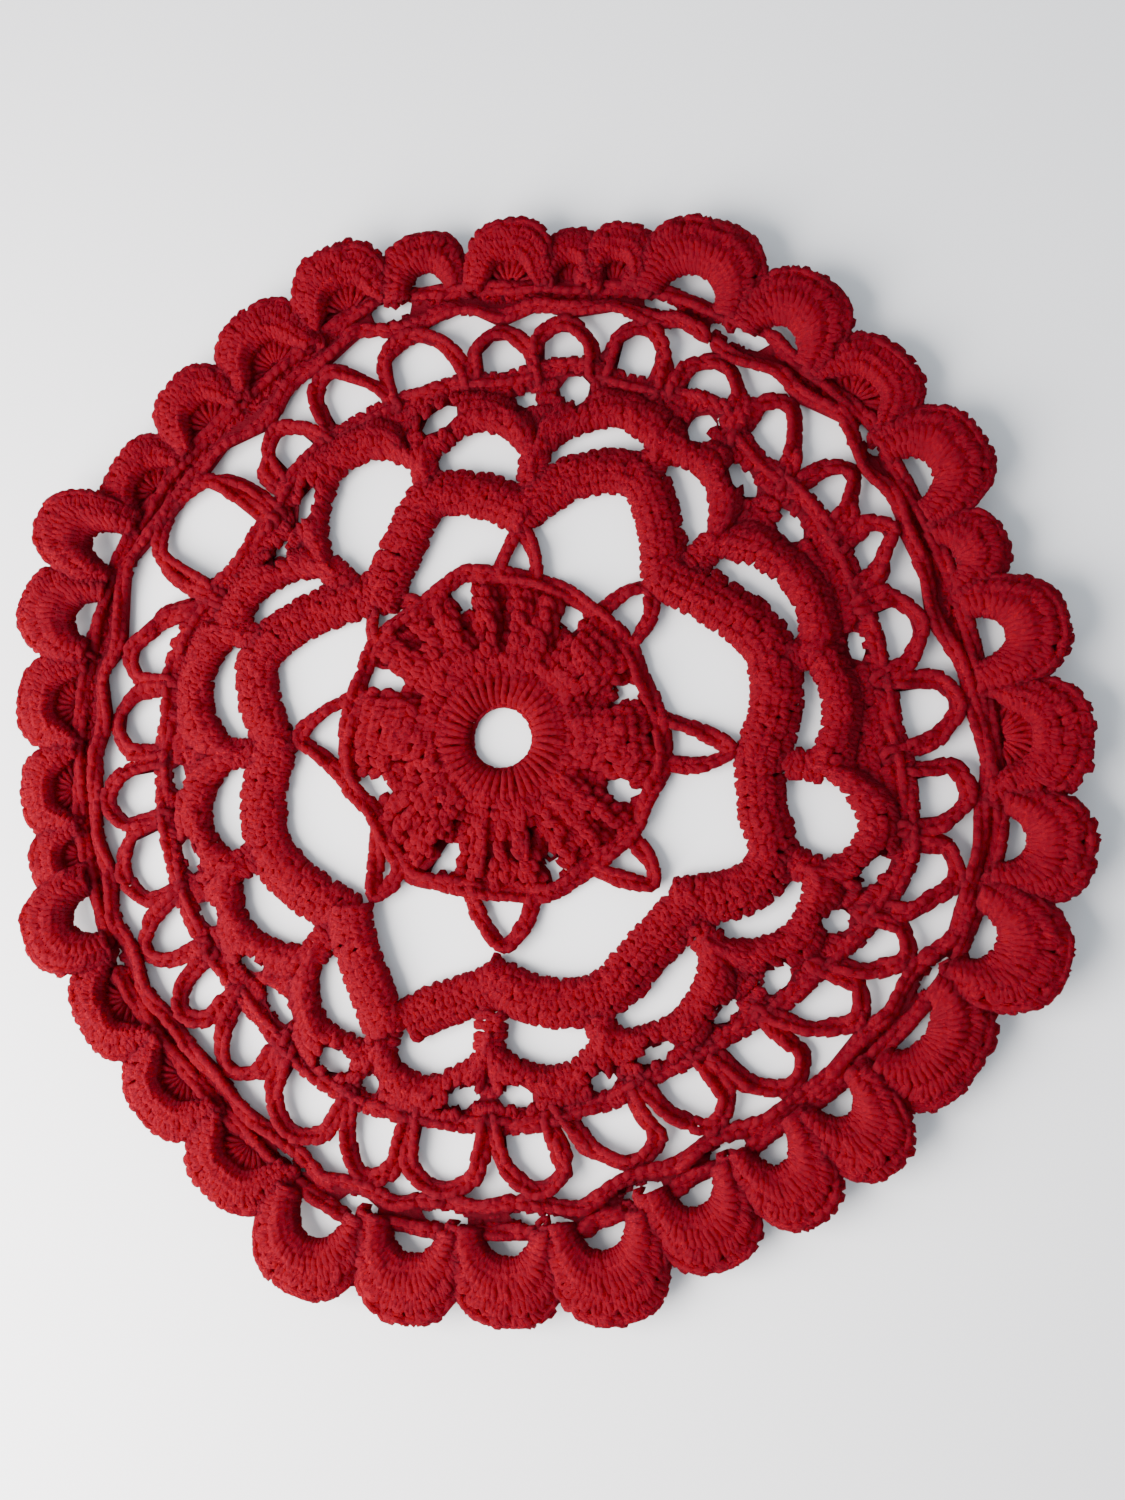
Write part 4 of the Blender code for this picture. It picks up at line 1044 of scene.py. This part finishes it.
def cotton(name, stops, twisted):
    """Matt red cotton: plied yarn with soft fibres, mottled a little from stitch to stitch, with painted
    shade darker in the hollows of the plies and fibre bumps.
    """
    material = bpy.data.materials.new(name)
    material.use_nodes = True
    tree = material.node_tree
    shader = tree.nodes["Principled BSDF"]
    place = node(tree, "ShaderNodeTexCoord").outputs["Object"]
    patches = node(tree, "ShaderNodeTexNoise", {"Vector": place, "Scale": 95.0, "Detail": 3.0})
    specks = node(tree, "ShaderNodeTexNoise", {"Vector": place, "Scale": 800.0, "Detail": 3.0})
    fibres = node(tree, "ShaderNodeTexNoise", {"Vector": place, "Scale": 4200.0, "Detail": 2.0})
    mottle_and_painted_shade = math_node(tree, "MULTIPLY_ADD", patches.outputs["Fac"], 0.55, -0.02)
    # The specks that raise the bumps also lighten their crests: painted shade in the hollows between them.
    mottle_and_painted_shade = math_node(tree, "MULTIPLY_ADD", specks.outputs["Fac"], 0.45, mottle_and_painted_shade)
    height = math_node(tree, "MULTIPLY", fibres.outputs["Fac"], 0.30)
    height = math_node(tree, "MULTIPLY_ADD", specks.outputs["Fac"], 1.7, height)
    if twisted:
        yarn = node(tree, "ShaderNodeUVMap", uv_map="yarn").outputs["UV"]
        parts = node(tree, "ShaderNodeSeparateXYZ", {"Vector": yarn})
        turns = math_node(tree, "MULTIPLY_ADD", parts.outputs["X"], 1.0 / PLY_PITCH, parts.outputs["Y"])
        wave = math_node(tree, "SINE", math_node(tree, "MULTIPLY", turns, 2.0 * math.pi))
        ply = math_node(tree, "MULTIPLY_ADD", wave, 0.5, 0.5)
        tone = node(tree, "ShaderNodeAttribute", attribute_name="tone").outputs["Fac"]
        # The ply twist lightens the crest of each ply and darkens the groove between plies: painted shade.
        mottle_and_painted_shade = math_node(tree, "MULTIPLY_ADD", ply, 0.12, mottle_and_painted_shade)
        mottle_and_painted_shade = math_node(tree, "MULTIPLY_ADD", tone, 0.20, math_node(tree, "ADD", mottle_and_painted_shade, -0.20))
        height = math_node(tree, "MULTIPLY_ADD", ply, 0.55, height)
    bump = node(tree, "ShaderNodeBump", {"Height": height, "Strength": 0.8, "Distance": 0.00032})
    tree.links.new(ramp(tree, mottle_and_painted_shade, stops), shader.inputs["Base Color"])
    tree.links.new(bump.outputs["Normal"], shader.inputs["Normal"])
    shader.inputs["Roughness"].default_value = 0.88
    shader.inputs["Specular IOR Level"].default_value = 0.03
    shader.subsurface_method = "BURLEY"
    shader.inputs["Subsurface Weight"].default_value = 0.85
    shader.inputs["Subsurface Radius"].default_value = (1.0, 0.12, 0.16)
    shader.inputs["Subsurface Scale"].default_value = 0.0034
    shader.inputs["Sheen Weight"].default_value = 0.04
    shader.inputs["Sheen Roughness"].default_value = 0.5
    shader.inputs["Sheen Tint"].default_value = (0.85, 0.03, 0.09, 1.0)
    return material


def table():
    """A plain pale table top."""
    mesh = bpy.data.meshes.new("table")
    half = TABLE_HALF * MM
    corners = [(-half, -half, 0.0), (half, -half, 0.0), (half, half, 0.0), (-half, half, 0.0)]
    mesh.from_pydata(corners, [], [(0, 1, 2, 3)])
    material = bpy.data.materials.new("table")
    material.use_nodes = True
    tree = material.node_tree
    place = node(tree, "ShaderNodeTexCoord").outputs["Object"]
    cloud = node(tree, "ShaderNodeTexNoise", {"Vector": place, "Scale": 6.0, "Detail": 2.0})
    stops = ((0.3, TABLE_DARK), (0.7, TABLE_LIGHT))
    shader = tree.nodes["Principled BSDF"]
    tree.links.new(ramp(tree, cloud.outputs["Fac"], stops), shader.inputs["Base Color"])
    shader.inputs["Roughness"].default_value = 0.7
    shader.inputs["Specular IOR Level"].default_value = 0.2
    mesh.materials.append(material)
    floor = bpy.data.objects.new("table", mesh)
    bpy.context.scene.collection.objects.link(floor)


def area_light(name, direction, distance, size, energy, colour):
    """A square soft light that looks at the doily from this direction."""
    light = bpy.data.lights.new(name, "AREA")
    light.size = size * MM
    light.energy = energy
    light.color = colour
    lamp = bpy.data.objects.new(name, light)
    away = np.array(direction) / np.linalg.norm(direction)
    side = np.cross((0.0, 0.0, 1.0), away)
    side /= np.linalg.norm(side)
    up = np.cross(away, side)
    turn = Matrix([[side[k], up[k], away[k]] for k in range(3)]).to_4x4()
    lamp.matrix_world = Matrix.Translation(away * distance * MM) @ turn
    bpy.context.scene.collection.objects.link(lamp)


def studio():
    """The camera at the photograph's angle, a soft window light and a pale sky."""
    camera = bpy.data.cameras.new("camera")
    camera.lens = LENS
    camera.sensor_width = 36.0
    camera.clip_start = 0.01
    viewer = bpy.data.objects.new("camera", camera)
    turn = Matrix([[axis[k] for axis in CAMERA_AXES] for k in range(3)]).to_4x4()
    place = (np.array(EYE) + (HUB_X, HUB_Y, 0.0)) * MM
    viewer.matrix_world = Matrix.Translation(place) @ turn
    bpy.context.scene.collection.objects.link(viewer)
    bpy.context.scene.camera = viewer
    area_light("window", *WINDOW)
    world = bpy.data.worlds.new("sky")
    world.use_nodes = True
    sky = world.node_tree.nodes["Background"]
    sky.inputs["Color"].default_value = (*SKY_COLOUR, 1.0)
    sky.inputs["Strength"].default_value = SKY_STRENGTH
    bpy.context.scene.world = world


def main():
    """The cloth and its yarn, the table and the light."""
    yarn_red = cotton("red_cotton_yarn", YARN_STOPS, True)
    # The ground's cotton is darker than the yarn's, as painted shade in the gaps where it shows.
    base = ground(cotton("red_cotton_ground_painted_shade", SHADED_GROUND_STOPS, False))
    dressed = [rosette(yarn_red), inner_band(yarn_red), *outer_bands(yarn_red)]
    dressed += [lattice(yarn_red), edge_rows(yarn_red), *scallops(yarn_red)]
    table()
    studio()


main()
